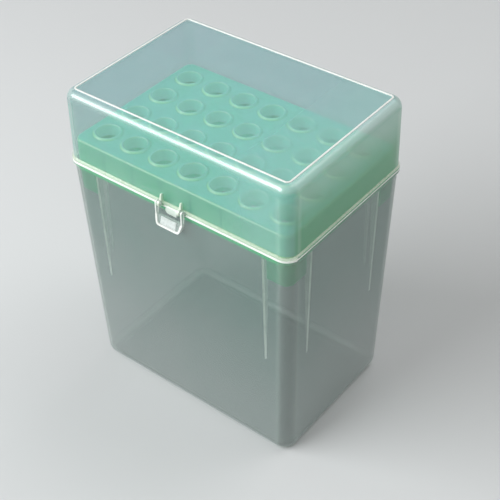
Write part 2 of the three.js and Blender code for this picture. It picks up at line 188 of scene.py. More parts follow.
class TipBoxRack(bpy.types.PropertyGroup):
    """The perforated rack that drops into the body."""

    wall: length("Wall", 1.3, "Wall thickness")
    plate: length("Plate", 1.6, "Thickness of the perforated plate")
    skirt: length("Skirt", 16.0, "Height of the skirt")
    draft: length("Draft", 0.3, "How far the skirt leans in towards the top")
    side_gap: length("Side gap", 0.4, "Between the rack and the body's inner wall")
    fillet: length("Fillet", 1.2, "Rolled edge round the plate")
    leg_x: length("Leg along X", 11.6, "Leg's length along the long wall")
    leg_y: length("Leg along Y", 12.4, "Leg's length along the short wall")
    columns: number("Columns", 7, "Holes along X")
    rows: number("Rows", 4, "Holes along Y")
    pitch_x: length("Column pitch", 16.6, "Hole to hole along X")
    pitch_y: length("Row pitch", 18.9, "Hole to hole along Y")
    hole: length("Hole", 12.0, "Hole's diameter at the plate")
    throat: length("Throat", 11.0, "Hole's diameter under the eased edge")
    foot: length("Foot", 10.4, "Hole's diameter at the foot of the collar")
    ease: length("Ease", 0.7, "Depth of the eased edge")
    collar: length("Collar", 5.0, "Collar's foot below the plate's top")
    collar_wall: length("Collar wall", 1.0, "Thickness of the collar")
    rib: length("Rib", 1.0, "Thickness of the ribs under the plate")
    rib_depth: length("Rib depth", 12.0, "Foot of the ribs below the plate's top")


class TipBoxLatch(bpy.types.PropertyGroup):
    """The snap latch on the lid."""

    half_width: length("Half width", 7.6, "Half the width over its arms")
    arm: length("Arm", 1.1, "Thickness of an arm, along X")
    strut: length("Strut", 0.85, "Width of the white rim and of what shows of an arm")
    boss: length("Boss radius", 1.2, "Radius round the pin")
    pin: length("Pin radius", 0.7, "Radius of the pin")
    plate: length("Plate", 1.1, "Thickness of the bar and the finger lip")
    rim: length("Rim", 0.4, "Height of the rim round the finger lip")
    foot_half: length("Foot half width", 6.4, "Half the width at the foot")
    foot_corner: length("Foot corner", 1.5, "Rounding of the foot's corners")
    bar: length("Bar", 0.4, "Straight bar under the window")
    window: length("Window gap", 0.4, "Between the catch's foot and the bar")
    clearance: length("Clearance", 0.35, "Between the catch and the bar")
    pad_half: length("Pad half width", 4.3, "Half the width of the thumb pad")
    pad_length: length("Pad length", 3.4, "Length of the thumb pad down the lip")
    pad_height: length("Pad height", 0.35, "Height of the thumb pad")


class TipBoxFinish(bpy.types.PropertyGroup):
    """Colours and cloudiness of the plastics."""

    body: colour("Body", (0.14, 0.245, 0.22), "Cloudy plastic of the body, at its rim")
    # Body foot: painted light, a paler foot that lifts the shade inside the box.
    body_foot: colour("Body foot", (0.38, 0.44, 0.43), "Cloudy plastic of the body, at its foot")
    body_opacity: share("Body opacity", 0.45, "How solid one face of the body looks")
    lid_wall: colour("Lid wall", (0.19, 0.39, 0.40), "Cloudy plastic of the lid's walls")
    lid_top: colour("Lid top", (0.34, 0.57, 0.63), "Cloudy plastic of the lid's top")
    lid_opacity: share("Lid opacity", 0.31, "How solid one face of the lid looks")
    # Rolled edge: painted highlight on the rolled edges of the body and the lid.
    edge: colour("Rolled edge", (0.72, 0.90, 0.80), "Plastic seen through a rolled edge")
    thick: colour("Thick plastic", (0.82, 0.94, 0.74), "Lugs, arms and the lid's bead")
    fin: colour("Fin", (0.82, 0.88, 0.82), "Fins and hinge brackets")
    fin_glow: colour("Fin glow", (0.12, 0.13, 0.12), "Light that runs along the fins")
    catch: colour("Catch", (0.74, 0.85, 0.76), "Catch behind the latch's window")
    lug: colour("Lug", (0.86, 0.93, 0.80), "Latch lugs and their gussets")
    end_low: colour("End wall, low", (0.02, 0.33, 0.12), "Milky end walls of the lid, beside the rack")
    end_high: colour("End wall, high", (0.31, 0.60, 0.46), "Milky end walls of the lid, above the rack")
    # Corner: painted shade on the round corners of the lid.
    corner: colour("Corner", (0.12, 0.40, 0.26), "Round corners of the lid, where its wall is seen face on")
    mist: colour("Mist", (0.25, 0.55, 0.47), "Milky patch of the lid, towards +X")
    bead: colour("Bead", (0.97, 0.98, 0.94), "Body's rim, the lid's ridge and the latch's rim")
    clear: colour("Clear plate", (0.60, 0.72, 0.67), "Thin middle of the latch")
    frost: colour("Frost", (0.78, 0.84, 0.82), "Thumb pad")
    rack: colour("Rack", (0.06, 0.67, 0.25), "Green plastic of the rack")
    rack_deep: colour("Rack, deep", (0.05, 0.60, 0.25), "Green plastic that shows through the body's rim")
    # Rack, thin: also the painted highlight on the rack's eased top edge and on the lip in front of each
    # hole.
    rack_light: colour("Rack, thin", (0.50, 1.0, 0.56), "Green plastic where light comes through")
    plate: colour("Plate", (0.32, 1.0, 0.80), "Level top of the rack, which has the most light")
    # Bore: painted light, lighter than the rack, lifting the shade inside the holes.
    bore: colour("Bore", (0.17, 0.74, 0.62), "Inside the holes of the rack")
    leg: colour("Leg", (0.05, 0.95, 0.42), "Legs of the rack, which stand close to the wall")
    glow: colour("Glow", (0.0, 0.035, 0.0), "Light that comes through the rack's green plastic")
    # Edge glow and lip glow are painted highlights: the glint of the lamps on the eased top edge and on the
    # lip in front of each hole.
    edge_glow: colour("Edge glow", (0.03, 0.14, 0.02), "Light that comes through the rack's eased edge")
    lip_glow: colour("Lip glow", (0.10, 0.32, 0.06), "Light that comes through the lip in front of a hole")
    bore_glow: colour("Bore glow", (0.098, 0.176, 0.108), "Light that comes through into the rack's holes")
    under_glow: colour("Underside glow", (0.01, 0.15, 0.09), "Light that comes through to its underside")
    plate_glow: colour("Plate glow", (0.0, 0.12, 0.04), "Light that comes up through the rack's plate")


class TipBoxStage(bpy.types.PropertyGroup):
    """Floor, lamps and camera."""

    floor_colour: colour("Floor", (0.66, 0.67, 0.68), "Floor and backdrop")
    azimuth: angle("Azimuth", 38.48, "Camera round the box, from the front towards +X")
    elevation: angle("Elevation", 40.33, "Camera above the horizon")
    roll: angle("Roll", -1.2, "Camera about its own axis")
    distance: length("Distance", 526.0, "Camera from the middle of the box")
    lens: FloatProperty(
        name="Lens", description="Focal length on a 36 mm sensor, in millimetres", default=79.73
    )


class TipBoxSettings(bpy.types.PropertyGroup):
    """Everything that the sidebar shows."""

    case: PointerProperty(type=TipBoxCase)
    body: PointerProperty(type=TipBoxBody)
    lid: PointerProperty(type=TipBoxLid)
    hinge: PointerProperty(type=TipBoxHinge)
    rack: PointerProperty(type=TipBoxRack)
    latch: PointerProperty(type=TipBoxLatch)
    finish: PointerProperty(type=TipBoxFinish)
    stage: PointerProperty(type=TipBoxStage)


def settings():
    return bpy.context.scene.tip_box


# ---------- places that several pieces share ----------
def rim_z():
    """Top of the body."""
    return HINGE.z - settings().case.joint_gap / 2


def lid_z():
    """Lower edge of the lid."""
    return HINGE.z + settings().case.joint_gap / 2


def panel_z():
    """Top panel of the lid."""
    return CAD_HIGH.z - settings().lid.ridge_height


def on_end(face):
    """Whether a face of the box looks along X."""
    return abs(face.normal.x) >= 0.97


def body_inset(z):
    """Body's outer wall behind the rim's outer face."""
    body = settings().body
    return body.top_inset + (body.foot_inset - body.top_inset) * (1 - z / rim_z())


def lid_inset(z):
    """Lid's outer wall behind the rim's outer face."""
    lid = settings().lid
    rise = (z - lid_z()) / (panel_z() - lid_z())
    return lid.foot_inset + (lid.top_inset - lid.foot_inset) * rise


# ---------- mesh tools ----------
def ring(inset, corner, z):
    """Rounded rectangle in plan, anticlockwise, at an inset behind the rim's outer face."""
    case = settings().case
    half_x = case.size_x / 2 - inset - corner
    half_y = case.size_y / 2 - inset - corner
    points = []
    for quarter, (sx, sy) in enumerate(((1, 1), (-1, 1), (-1, -1), (1, -1))):
        for step in range(case.corner_steps + 1):
            angle = (quarter + step / case.corner_steps) * math.pi / 2
            x = sx * half_x + corner * math.cos(angle)
            y = sy * half_y + corner * math.sin(angle)
            points.append(Vector((x, y, z)))
    return points


def rings_round(places, reach):
    """Rings through (inset, z) places whose corners turn about one centre, a reach behind the rim."""
    return [ring(inset, reach - inset, z) for inset, z in places]


def arc(inset, z, radius, start, end, steps):
    """Places (inset, z) on an arc; angles in degrees, 0 is inwards and 90 is up."""
    for step in range(steps + 1):
        angle = math.radians(start + (end - start) * step / steps)
        yield inset + radius * math.cos(angle), z + radius * math.sin(angle)


def new_object(name, data):
    made = bpy.data.objects.new(name, data)
    bpy.context.scene.collection.objects.link(made)
    return made


@contextmanager
def edited(mesh):
    """A mesh opened for editing, and written back at the end."""
    work = bmesh.new()
    work.from_mesh(mesh)
    yield work
    work.to_mesh(mesh)
    work.free()


def from_faces(name, points, faces):
    mesh = bpy.data.meshes.new(name)
    mesh.from_pydata([tuple(p) for p in points], [], faces)
    mesh.validate()
    return new_object(name, mesh)


def loft(name, rings):
    """Closed solid through a stack of rings: a cap, the rings in order, a cap."""
    count = len(rings[0])
    top = (len(rings) - 1) * count
    faces = [tuple(reversed(range(count)))]
    for base in range(0, top, count):
        for i in range(count):
            j = (i + 1) % count
            faces.append((base + i, base + j, base + count + j, base + count + i))
    faces.append(tuple(range(top, top + count)))
    return from_faces(name, [p for points in rings for p in points], faces)


def lathe(name, profile, sides):
    """Ring-shaped solid turned about Z from a closed profile of (radius, z) places."""
    count = len(profile)
    points = [
        Vector((r * math.cos(a), r * math.sin(a), z))
        for a in (2 * math.pi * i / sides for i in range(sides))
        for r, z in profile
    ]
    faces = []
    for i in range(sides):
        j = (i + 1) % sides
        for k in range(count):
            m = (k + 1) % count
            faces.append((i * count + k, j * count + k, j * count + m, i * count + m))
    return from_faces(name, points, faces)


def hull(name, points):
    """Convex solid round some places."""
    mesh = bpy.data.meshes.new(name)
    with edited(mesh) as work:
        for p in points:
            work.verts.new(p)
        made = bmesh.ops.convex_hull(work, input=work.verts)
        spare = {g for key in ("geom_interior", "geom_unused") for g in made[key]}
        inside = [g for g in spare if isinstance(g, bmesh.types.BMVert)]
        bmesh.ops.delete(work, geom=inside, context="VERTS")
        flat = math.radians(1)
        bmesh.ops.dissolve_limit(work, angle_limit=flat, verts=work.verts, edges=work.edges)
        bmesh.ops.recalc_face_normals(work, faces=work.faces)
    return new_object(name, mesh)


def hull_prism(name, outline, span):
    """Convex solid along X, over a span (low, high), round some (y, z) places."""
    return hull(name, [Vector((x, y, z)) for x in span for y, z in outline])


def circle(centre, radius, sides=40):
    """Places (y, z) round a centre."""
    turns = (2 * math.pi * i / sides for i in range(sides))
    return [(centre.y + radius * math.cos(a), centre.z + radius * math.sin(a)) for a in turns]


def flank(side, inner, outer):
    """Span in X on one side of the middle."""
    return (inner, outer) if side > 0 else (-outer, -inner)


def about(centre, half):
    """Span in X, a half to each side of a centre."""
    return centre - half, centre + half


def settle(piece):
    """Replaces a piece's mesh by the one that its modifiers make, and drops them."""
    graph = bpy.context.evaluated_depsgraph_get()
    mesh = bpy.data.meshes.new_from_object(piece.evaluated_get(graph), depsgraph=graph)
    old = piece.data
    piece.modifiers.clear()
    piece.data = mesh
    mesh.name = piece.name
    bpy.data.meshes.remove(old)
    return piece


def eased(piece, width=EASE, segments=3):
    """Rounds a small solid's edges."""
    bevel = piece.modifiers.new("ease", "BEVEL")
    bevel.width = width
    bevel.segments = segments
    bevel.limit_method = "ANGLE"
    bevel.angle_limit = math.radians(40)
    return settle(piece)


def combine(piece, others, operation):
    """Joins other solids to a piece, or cuts them from it, and removes them."""
    for other in others:
        step = piece.modifiers.new(operation.lower(), "BOOLEAN")
        step.operation = operation
        step.solver = "EXACT"
        step.object = other
        settle(piece)
        bpy.data.objects.remove(other)


def smooth(piece):
    """Smooth shading that keeps the real edges, with flat faces left flat."""
    with edited(piece.data) as work:
        bmesh.ops.remove_doubles(work, verts=work.verts, dist=MERGE)
        bmesh.ops.dissolve_degenerate(work, edges=work.edges, dist=MERGE / 2)
    piece.data.shade_smooth()
    piece.data.set_sharp_from_angle(angle=math.radians(32))
    piece.modifiers.new("weighted", "WEIGHTED_NORMAL").keep_sharp = True
    settle(piece)


def mark(piece, rule):
    """Gives each face the material slot that the rule names for it."""
    mesh = piece.data
    while len(mesh.materials) <= SNAP:
        mesh.materials.append(None)
    for face in mesh.polygons:
        face.material_index = rule(face) if callable(rule) else rule


def dress(piece, *materials):
    """Gives a piece its materials, in slot order."""
    kept = [face.material_index for face in piece.data.polygons]
    piece.data.materials.clear()
    for material in materials:
        piece.data.materials.append(material)
    for face, index in zip(piece.data.polygons, kept):
        face.material_index = min(index, len(materials) - 1)


# ---------- node tools ----------
def rgba(value):
    return (*value, 1.0)


class Nodes:
    """A node tree, built node by node."""

    def __init__(self, tree):
        self.tree = tree

    def feed(self, socket, source):
        """Sets an input from an output or from a plain value."""
        if isinstance(source, bpy.types.NodeSocket):
            self.tree.links.new(source, socket)
        else:
            socket.default_value = source

    def node(self, kind, inputs=(), **values):
        """A node with its settings and its inputs, by name or number."""
        made = self.tree.nodes.new(kind)
        for name, value in values.items():
            setattr(made, name, value)
        for key, source in dict(inputs).items():
            self.feed(made.inputs[key], source)
        return made

    def maths(self, operation, a, b=0.0, clamp=False):
        made = self.node("ShaderNodeMath", {0: a, 1: b}, operation=operation, use_clamp=clamp)
        return made.outputs[0]

    def plus(self, a, b, clamp=False):
        return self.maths("ADD", a, b, clamp)

    def minus(self, a, b, clamp=False):
        return self.maths("SUBTRACT", a, b, clamp)

    def times(self, a, b):
        return self.maths("MULTIPLY", a, b)

    def larger(self, a, b):
        return self.maths("MAXIMUM", a, b)

    def size(self, a):
        """A number without its sign."""
        return self.maths("ABSOLUTE", a)

    def ramp(self, value, low, high, to_low=0.0, to_high=1.0):
        """Maps low..high to to_low..to_high, held at both ends and eased."""
        ends = {"From Min": low, "From Max": high, "To Min": to_low, "To Max": to_high}
        made = self.node("ShaderNodeMapRange", {"Value": value, **ends}, interpolation_type="SMOOTHSTEP")
        return made.outputs["Result"]

    def mixed(self, factor, a, b):
        """Blend of two colours."""
        inputs = {"Factor": factor, "A": a, "B": b}
        return self.node("ShaderNodeMix", inputs, data_type="RGBA").outputs["Result"]

    def noise(self, place, scale, detail=2.0, roughness=0.5, stretch=None):
        """Noise on a place, about 0.5; scale in repeats a metre, stretch a vector."""
        if stretch:
            place = self.node("ShaderNodeMapping", {"Vector": place, "Scale": stretch}).outputs[0]
        inputs = {"Vector": place, "Scale": scale, "Detail": detail, "Roughness": roughness}
        return self.node("ShaderNodeTexNoise", inputs).outputs["Fac"]

    def vector_maths(self, operation, a, b):
        made = self.node("ShaderNodeVectorMath", {0: a, 1: b}, operation=operation)
        return made.outputs["Value" if operation == "DOT_PRODUCT" else "Vector"]

    def place(self):
        return self.node("ShaderNodeTexCoord").outputs["Object"]

    def split(self, output):
        """X, Y and Z of the place (Object) or of the face's direction (Normal)."""
        whole = self.node("ShaderNodeTexCoord").outputs[output]
        return self.node("ShaderNodeSeparateXYZ", {0: whole}).outputs


# ---------- effects that several materials share ----------
def start_group(name, inputs, outputs):
    """A new shader node group and the sockets at its two ends; a tuple stands for a colour."""
    tree = bpy.data.node_groups.new(name, "ShaderNodeTree")
    for way, sockets in (("INPUT", inputs), ("OUTPUT", outputs)):
        for label, value in sockets.items():
            kind = "NodeSocketColor" if isinstance(value, tuple) else "NodeSocketFloat"
            socket = tree.interface.new_socket(name=label, in_out=way, socket_type=kind)
            socket.default_value = value
    nodes = Nodes(tree)
    return nodes, nodes.node("NodeGroupInput").outputs, nodes.node("NodeGroupOutput").inputs


def moulded_surface(name):
    """Effects that every moulded piece shows: cloud, fine grain and hairline scuffs."""
    grey = rgba((0.5, 0.5, 0.5))
    colours = {"Colour": grey, "Cloud colour": grey}
    numbers = {"Cloud share": 0.5, "Cloud size": 60.0, "Roughness": 0.3, "Roughness spread": 0.1}
    results = {"Colour": grey, "Roughness": 0.0, "Height": 0.0, "Cloud": 0.0}
    nodes, taken, given = start_group(name, {**colours, **numbers}, results)
    place = nodes.place()
    scaling = {0: place, "Scale": taken["Cloud size"]}
    scaled = nodes.node("ShaderNodeVectorMath", scaling, operation="SCALE").outputs[0]

    broad = nodes.noise(scaled, 1.0, detail=4.0, roughness=0.55)
    flow = nodes.noise(place, 40.0, detail=3.0, stretch=(1.0, 1.0, 0.12))
    broad_share, flow_share = 0.65, 0.35
    cloud = nodes.plus(nodes.times(broad, broad_share), nodes.times(flow, flow_share))
    cloud = nodes.ramp(cloud, 0.34, 0.66)
    factor = nodes.times(cloud, taken["Cloud share"])
    nodes.feed(given["Colour"], nodes.mixed(factor, taken["Colour"], taken["Cloud colour"]))
    nodes.feed(given["Cloud"], cloud)

    hairs = nodes.noise(place, 90.0, detail=5.0, roughness=0.7, stretch=(1.0, 9.0, 5.0))
    scuffs = nodes.times(nodes.ramp(hairs, 0.66, 0.74), 0.05)
    spread = nodes.times(nodes.minus(cloud, 0.5), taken["Roughness spread"])
    rough = nodes.plus(nodes.plus(taken["Roughness"], spread), scuffs, clamp=True)
    nodes.feed(given["Roughness"], rough)

    grain = nodes.times(nodes.noise(place, 2600.0), 0.4)
    nodes.feed(given["Height"], nodes.plus(grain, nodes.times(broad, 2.0)))
    return nodes.tree


def box_corners(name):
    """Upright corners of a tapered box: the round of the corner, for painted shade, and the strips that end
    it, for painted highlight.
    """
    ends = {"From Min": "Low Z", "From Max": "High Z", "To Min": "Low inset", "To Max": "High inset"}
    inputs = dict.fromkeys(("Half X", "Half Y", "Corner", *ends.values()), 0.0)
    nodes, taken, given = start_group(name, inputs, {"Round": 0.0, "Strip": 0.0})
    place = nodes.split("Object")
    taper = {end: taken[label] for end, label in ends.items()}
    inset = nodes.node("ShaderNodeMapRange", {"Value": place["Z"], **taper}).outputs["Result"]
    start = nodes.plus(inset, taken["Corner"])
    past = [
        nodes.minus(nodes.size(place[axis]), nodes.minus(taken["Half " + axis], start))
        for axis in ("X", "Y")
    ]
    upright = nodes.ramp(nodes.minus(taken["High Z"], place["Z"]), 0.0, 2 * MM)
    inner = nodes.maths("MINIMUM", *past)
    turned = nodes.ramp(inner, -0.3 * MM, 0.7 * MM)
    nodes.feed(given["Round"], nodes.times(turned, upright))
    # The strips beside a corner's round carry a painted highlight: the glare of a rounded corner.
    near = nodes.ramp(nodes.size(inner), 1.8 * MM, 0.1 * MM)
    outer = nodes.ramp(nodes.larger(*past), 1.5 * MM, 3 * MM)
    nodes.feed(given["Strip"], nodes.times(nodes.times(near, outer), upright))
    return nodes.tree


def shared(make):
    """A shared effect's node group, built once."""
    return bpy.data.node_groups.get(make.__name__) or make(make.__name__)


# ---------- materials ----------
GLOSS = {
    "IOR": 1.49,
    "Specular IOR Level": 1.0,
    "Coat Weight": 1.0,
    "Coat Roughness": 0.2,
    "Coat IOR": 1.65,
}


class Look(Nodes):
    """A material with the moulded effects wired to a Principled shader."""

    def __init__(self, name, colours, cloud, roughness, bump):
        """Takes pairs: plain and cloud colour; the cloud's share and size in repeats a metre;
        roughness and its spread; the bump's strength and its depth in millimetres.
        """
        self.material = bpy.data.materials.new(name)
        self.material.use_nodes = True
        super().__init__(self.material.node_tree)
        self.shader = next(n for n in self.tree.nodes if n.type == "BSDF_PRINCIPLED")
        names = ("Colour", "Cloud colour", "Cloud share", "Cloud size", "Roughness", "Roughness spread")
        values = (*map(rgba, colours), *cloud, *roughness)
        effects = self.node("ShaderNodeGroup", node_tree=shared(moulded_surface))
        for key, value in zip(names, values):
            effects.inputs[key].default_value = value
        self.skin, self.cloud = effects.outputs["Colour"], effects.outputs["Cloud"]
        strength, depth = bump
        height = effects.outputs["Height"]
        inputs = {"Strength": strength, "Distance": depth * MM, "Height": height}
        self.bump = self.node("ShaderNodeBump", inputs)
        self.set({"Roughness": effects.outputs["Roughness"], "Normal": self.bump.outputs[0]})
        self.set({"Base Color": self.skin})

    def set(self, inputs):
        """Feeds the shader's inputs, by name."""
        for key, source in inputs.items():
            self.feed(self.shader.inputs[key], source)

    def paint(self, mask, colour):
        """Lays a colour over the skin where the mask is."""
        plain = not isinstance(colour, bpy.types.NodeSocket)
        self.skin = self.mixed(mask, self.skin, rgba(colour) if plain else colour)
        self.set({"Base Color": self.skin})


class CloudyWall(Look):
    """Natural polypropylene in a thin wall: hazy, more so edge on."""

    def __init__(self, name, tint, opacity, roughness, corners):
        pale = tuple(min(1.0, c * 1.12 + 0.01) for c in tint)
        cloud, bump = (0.5, 55.0), (0.2, 0.004)
        super().__init__(name, (tint, pale), cloud=cloud, roughness=(roughness, 0.06), bump=bump)
        self.set(GLOSS)
        edge_on, cloud_haze = 0.32, 0.03
        facing = self.node("ShaderNodeLayerWeight", {"Blend": 0.35}).outputs["Facing"]
        self.haze = self.ramp(facing, 0.34, 0.7, opacity, min(1.0, opacity + edge_on))
        self.thicken(self.cloud, cloud_haze)
        # Masks for painted shade on the corners' round and painted highlight on the strips beside it.
        group = self.node("ShaderNodeGroup", node_tree=shared(box_corners))
        for key, value in corners.items():
            group.inputs[key].default_value = value
        self.round, self.strip = group.outputs["Round"], group.outputs["Strip"]

    def thicken(self, mask, share):
        """Makes the wall look more solid where the mask is."""
        self.haze = self.plus(self.haze, self.times(mask, share))

    def close(self, highlight_share):
        """Ends with the pale rolled edges, where a face turns from upright to level: a painted highlight
        there and on the corners' strips, with a little more haze.
        """
        glare_share, edge_haze = 0.15, 0.1
        level = self.size(self.split("Normal")["Z"])
        rolled = self.times(self.ramp(level, 0.12, 0.5), self.ramp(level, 0.98, 0.85))
        pale = self.larger(self.times(rolled, highlight_share), self.times(self.strip, glare_share))
        self.paint(pale, settings().finish.edge)
        solid = self.plus(self.haze, self.times(rolled, edge_haze), clamp=True)
        self.set({"Alpha": solid})
        return self.material


def corner_places(inset, low, high):
    """What the corner effects need: a wall's inset at the corner, and (z, inset) at foot and top."""
    case = settings().case
    return {
        "Half X": case.size_x / 2,
        "Half Y": case.size_y / 2,
        "Corner": case.corner - inset,
        "Low Z": low[0],
        "Low inset": low[1],
        "High Z": high[0],
        "High inset": high[1],
    }


def cloudy_body(name):
    """Body's wall: paler towards its foot, painted light that lifts the shade inside the box, and green at
    the rim where the rack is close behind.
    """
    finish, body = settings().finish, settings().body
    foot, top = (0.0, body.foot_inset), (rim_z(), body.top_inset)
    corners = corner_places(body.top_inset, foot, top)
    wall = CloudyWall(name, finish.body, finish.body_opacity, roughness=0.24, corners=corners)
    green_share, green_haze, end_share = 0.85, 0.1, 0.25
    corner_shade_share, round_shade, cloud_share = 0.55, 0.62, 0.15
    height = wall.split("Object")["Z"]
    # Painted light: paler towards the foot, lifting the shade inside the box.
    low = wall.ramp(height, rim_z(), 0.0)
    patchy = wall.times(wall.cloud, cloud_share)
    wall.paint(wall.minus(low, patchy, clamp=True), finish.body_foot)
    skirt = RACK_HIGH.z - settings().rack.skirt
    lit = wall.ramp(height, skirt + 1.5 * MM, skirt + 2.0 * MM)
    # The green shows less on the end walls: painted shade there.
    end = wall.size(wall.split("Normal")["X"])
    lit = wall.times(lit, wall.ramp(end, 0.75, 0.97, 1.0, end_share))
    wall.paint(wall.times(lit, green_share), finish.rack_deep)
    wall.thicken(lit, green_haze)
    # Painted shade on the round of each upright corner.
    wall.paint(wall.times(wall.round, corner_shade_share), [round_shade * c for c in finish.body_foot])
    return wall.close(highlight_share=0.28)


def cloudy_lid(name):
    """Lid's wall, whose outer skin is milkier on the end walls, towards +X and round the corners, with
    painted shade on the corners.
    """
    finish, lid = settings().finish, settings().lid
    foot, top = (lid_z(), lid.foot_inset), (panel_z() - lid.fillet, lid.top_inset)
    corners = corner_places(lid.foot_inset, foot, top)
    wall = CloudyWall(name, finish.lid_wall, finish.lid_opacity, roughness=0.16, corners=corners)
    wall.set({"Coat Roughness": 0.33})
    veil_share, veil_haze = 0.95, 0.42
    mist_share, mist_haze = 0.5, 0.24
    corner_shade_share, round_haze = 0.3, 0.12
    across = wall.split("Normal")
    wall.paint(wall.ramp(wall.size(across["Z"]), 0.3, 0.9), finish.lid_top)

    whole = wall.node("ShaderNodeTexCoord").outputs
    middle = (0.0, 0.0, (lid_z() + panel_z()) / 2)
    outward = wall.vector_maths("SUBTRACT", whole["Object"], middle)
    outward = wall.vector_maths("DOT_PRODUCT", outward, whole["Normal"])
    outside = wall.minus(1.0, wall.node("ShaderNodeNewGeometry").outputs["Backfacing"])
    outside = wall.times(outside, wall.maths("GREATER_THAN", outward, 0.0))
    end = wall.times(wall.ramp(wall.size(across["X"]), 0.8, 0.995), outside)
    where = wall.split("Object")
    rise = wall.ramp(where["Z"], lid_z() + 11 * MM, lid_z() + 31 * MM)
    veil = wall.mixed(rise, rgba(finish.end_low), rgba(finish.end_high))
    wall.paint(wall.times(end, veil_share), veil)
    wall.thicken(end, veil_haze)
    milk = wall.times(wall.ramp(where["X"], 18 * MM, 50 * MM), wall.minus(outside, end))
    wall.paint(wall.times(milk, mist_share), finish.mist)
    wall.thicken(milk, mist_haze)
    # Painted shade on the round of each upright corner.
    wall.paint(wall.times(wall.round, corner_shade_share), finish.corner)
    wall.thicken(wall.times(wall.round, outside), round_haze)
    return wall.close(highlight_share=0.4)


def thick_plastic(name, tint, opacity, glow=None):
    """The same plastic where it is thick, so that it scatters the light white."""
    pale = tuple(min(1.0, c * 1.06) for c in tint)
    look = Look(name, (tint, pale), cloud=(0.6, 120.0), roughness=(0.28, 0.1), bump=(0.2, 0.004))
    look.set(GLOSS)
    patchy = 0.04
    look.set({"Alpha": look.ramp(look.cloud, 0.0, 1.0, opacity - patchy, opacity + patchy)})
    if glow:
        look.set({"Emission Color": rgba(glow), "Emission Strength": 1.0})
    return look.material


def frosted_pad(name):
    """Coarse texture under the thumb."""
    frost = settings().finish.frost
    colours = ([0.85 * c for c in frost], frost)
    look = Look(name, colours, cloud=(0.8, 900.0), roughness=(0.6, 0.2), bump=(0.8, 0.08))
    sparks = look.noise(look.place(), 3200.0, detail=3.0, roughness=0.6)
    look.feed(look.bump.inputs["Height"], sparks)
    look.set({"Alpha": look.ramp(look.cloud, 0.0, 1.0, 0.8, 0.9)})
    return look.material


def rack_grid(look, place):
    """Masks of the ribs' lines and of the holes, from the rack's grid."""
    rack = settings().rack
    whole_cells = 40
    lines, offsets = [], []
    for axis, pitch, count in (("X", rack.pitch_x, rack.columns), ("Y", rack.pitch_y, rack.rows)):
        cell = look.plus(look.maths("DIVIDE", place[axis], pitch), 0.5 * (count - 1) + whole_cells)
        beside = look.size(look.minus(look.maths("FRACT", cell), 0.5))
        lines.append(look.ramp(beside, 0.9 * rack.rib / pitch, 0.3 * rack.rib / pitch))
        offset = look.times(look.minus(0.5, beside), pitch)
        offsets.append(look.maths("POWER", offset, 2.0))
    reach = look.maths("SQRT", look.plus(*offsets))
    bore = look.ramp(reach, rack.hole / 2 + 0.1 * MM, rack.hole / 2 - 0.2 * MM)
    return look.larger(*lines), bore


def green_plastic(name):
    """Pigmented rack, with painted highlights on its eased top edge and on the lip in front of each hole,
    painted light in its holes, and the ribs behind the skirt showing faintly.
    """
    finish, rack = settings().finish, settings().rack
    pale = [0.6 * a + 0.4 * b for a, b in zip(finish.rack, finish.rack_light)]
    colours = (finish.rack, pale)
    look = Look(name, colours, cloud=(0.6, 90.0), roughness=(0.38, 0.14), bump=(0.4, 0.006))
    rib_share, highlight_share, lip_share, leg_share = 0.8, 0.9, 0.5, 0.95
    place, across = look.split("Object"), look.split("Normal")
    down = look.minus(RACK_HIGH.z, place["Z"])
    ribs, bore = rack_grid(look, place)
    behind = look.times(ribs, look.maths("LESS_THAN", place["Z"], RACK_HIGH.z - rack.plate))
    shade = [left * c for left, c in zip((0.5, 0.8, 0.8), finish.rack)]
    look.paint(look.times(behind, rib_share), shade)
    lip = look.ramp(down, 0.0, -0.12 * MM)
    level = look.larger(look.ramp(across["Z"], 0.8, 0.98), lip)
    patchy = look.ramp(look.cloud, 0.2, 0.8, 0.72, 0.88)
    look.paint(look.times(level, patchy), finish.plate)
    # Painted light inside the holes, lifting the shade there.
    look.paint(bore, finish.bore)
    # Eased top edge: painted highlight, a light line along the rack's top.
    eased_edge = look.times(
        look.ramp(down, 0.1 * MM, 0.35 * MM), look.ramp(down, 1.1 * MM, 0.8 * MM)
    )
    eased_edge = look.times(eased_edge, look.minus(1.0, bore))
    # Painted highlight: the lip's side that faces -Y is lighter and glows, as the glint of the key light.
    lit_lip = look.times(lip, look.ramp(across["Y"], -0.1, -0.5))
    # Painted highlights on the eased edge and on the lip's front.
    thin = look.larger(look.times(eased_edge, highlight_share), look.times(lit_lip, lip_share))
    look.paint(thin, finish.rack_light)
    leg = look.ramp(down, rack.skirt - 0.2 * MM, rack.skirt + 0.2 * MM)
    look.paint(look.times(leg, leg_share), finish.leg)

    under = look.ramp(down, rack.plate, rack.plate + 0.4 * MM)
    for axis, half in (("X", RACK_HIGH.x), ("Y", RACK_HIGH.y)):
        within = look.ramp(look.size(place[axis]), half - 2.0 * rack.wall, half - 2.4 * rack.wall)
        under = look.times(under, within)
    glow = rgba(finish.glow)
    for mask, tint in (
        (level, finish.plate_glow),
        (lit_lip, finish.lip_glow),
        (eased_edge, finish.edge_glow),
        (under, finish.under_glow),
        (bore, finish.bore_glow),
    ):
        glow = look.mixed(mask, glow, rgba(tint))
    look.set({"Emission Color": glow, "Emission Strength": 1.0})
    look.set({"IOR": 1.49, "Coat Weight": 1.0, "Coat Roughness": 0.35, "Coat IOR": 2.0})
    look.set({"Subsurface Weight": 0.8, "Subsurface Radius": (0.6, 1.0, 0.8)})
    look.set({"Subsurface Scale": 3 * MM})
    return look.material


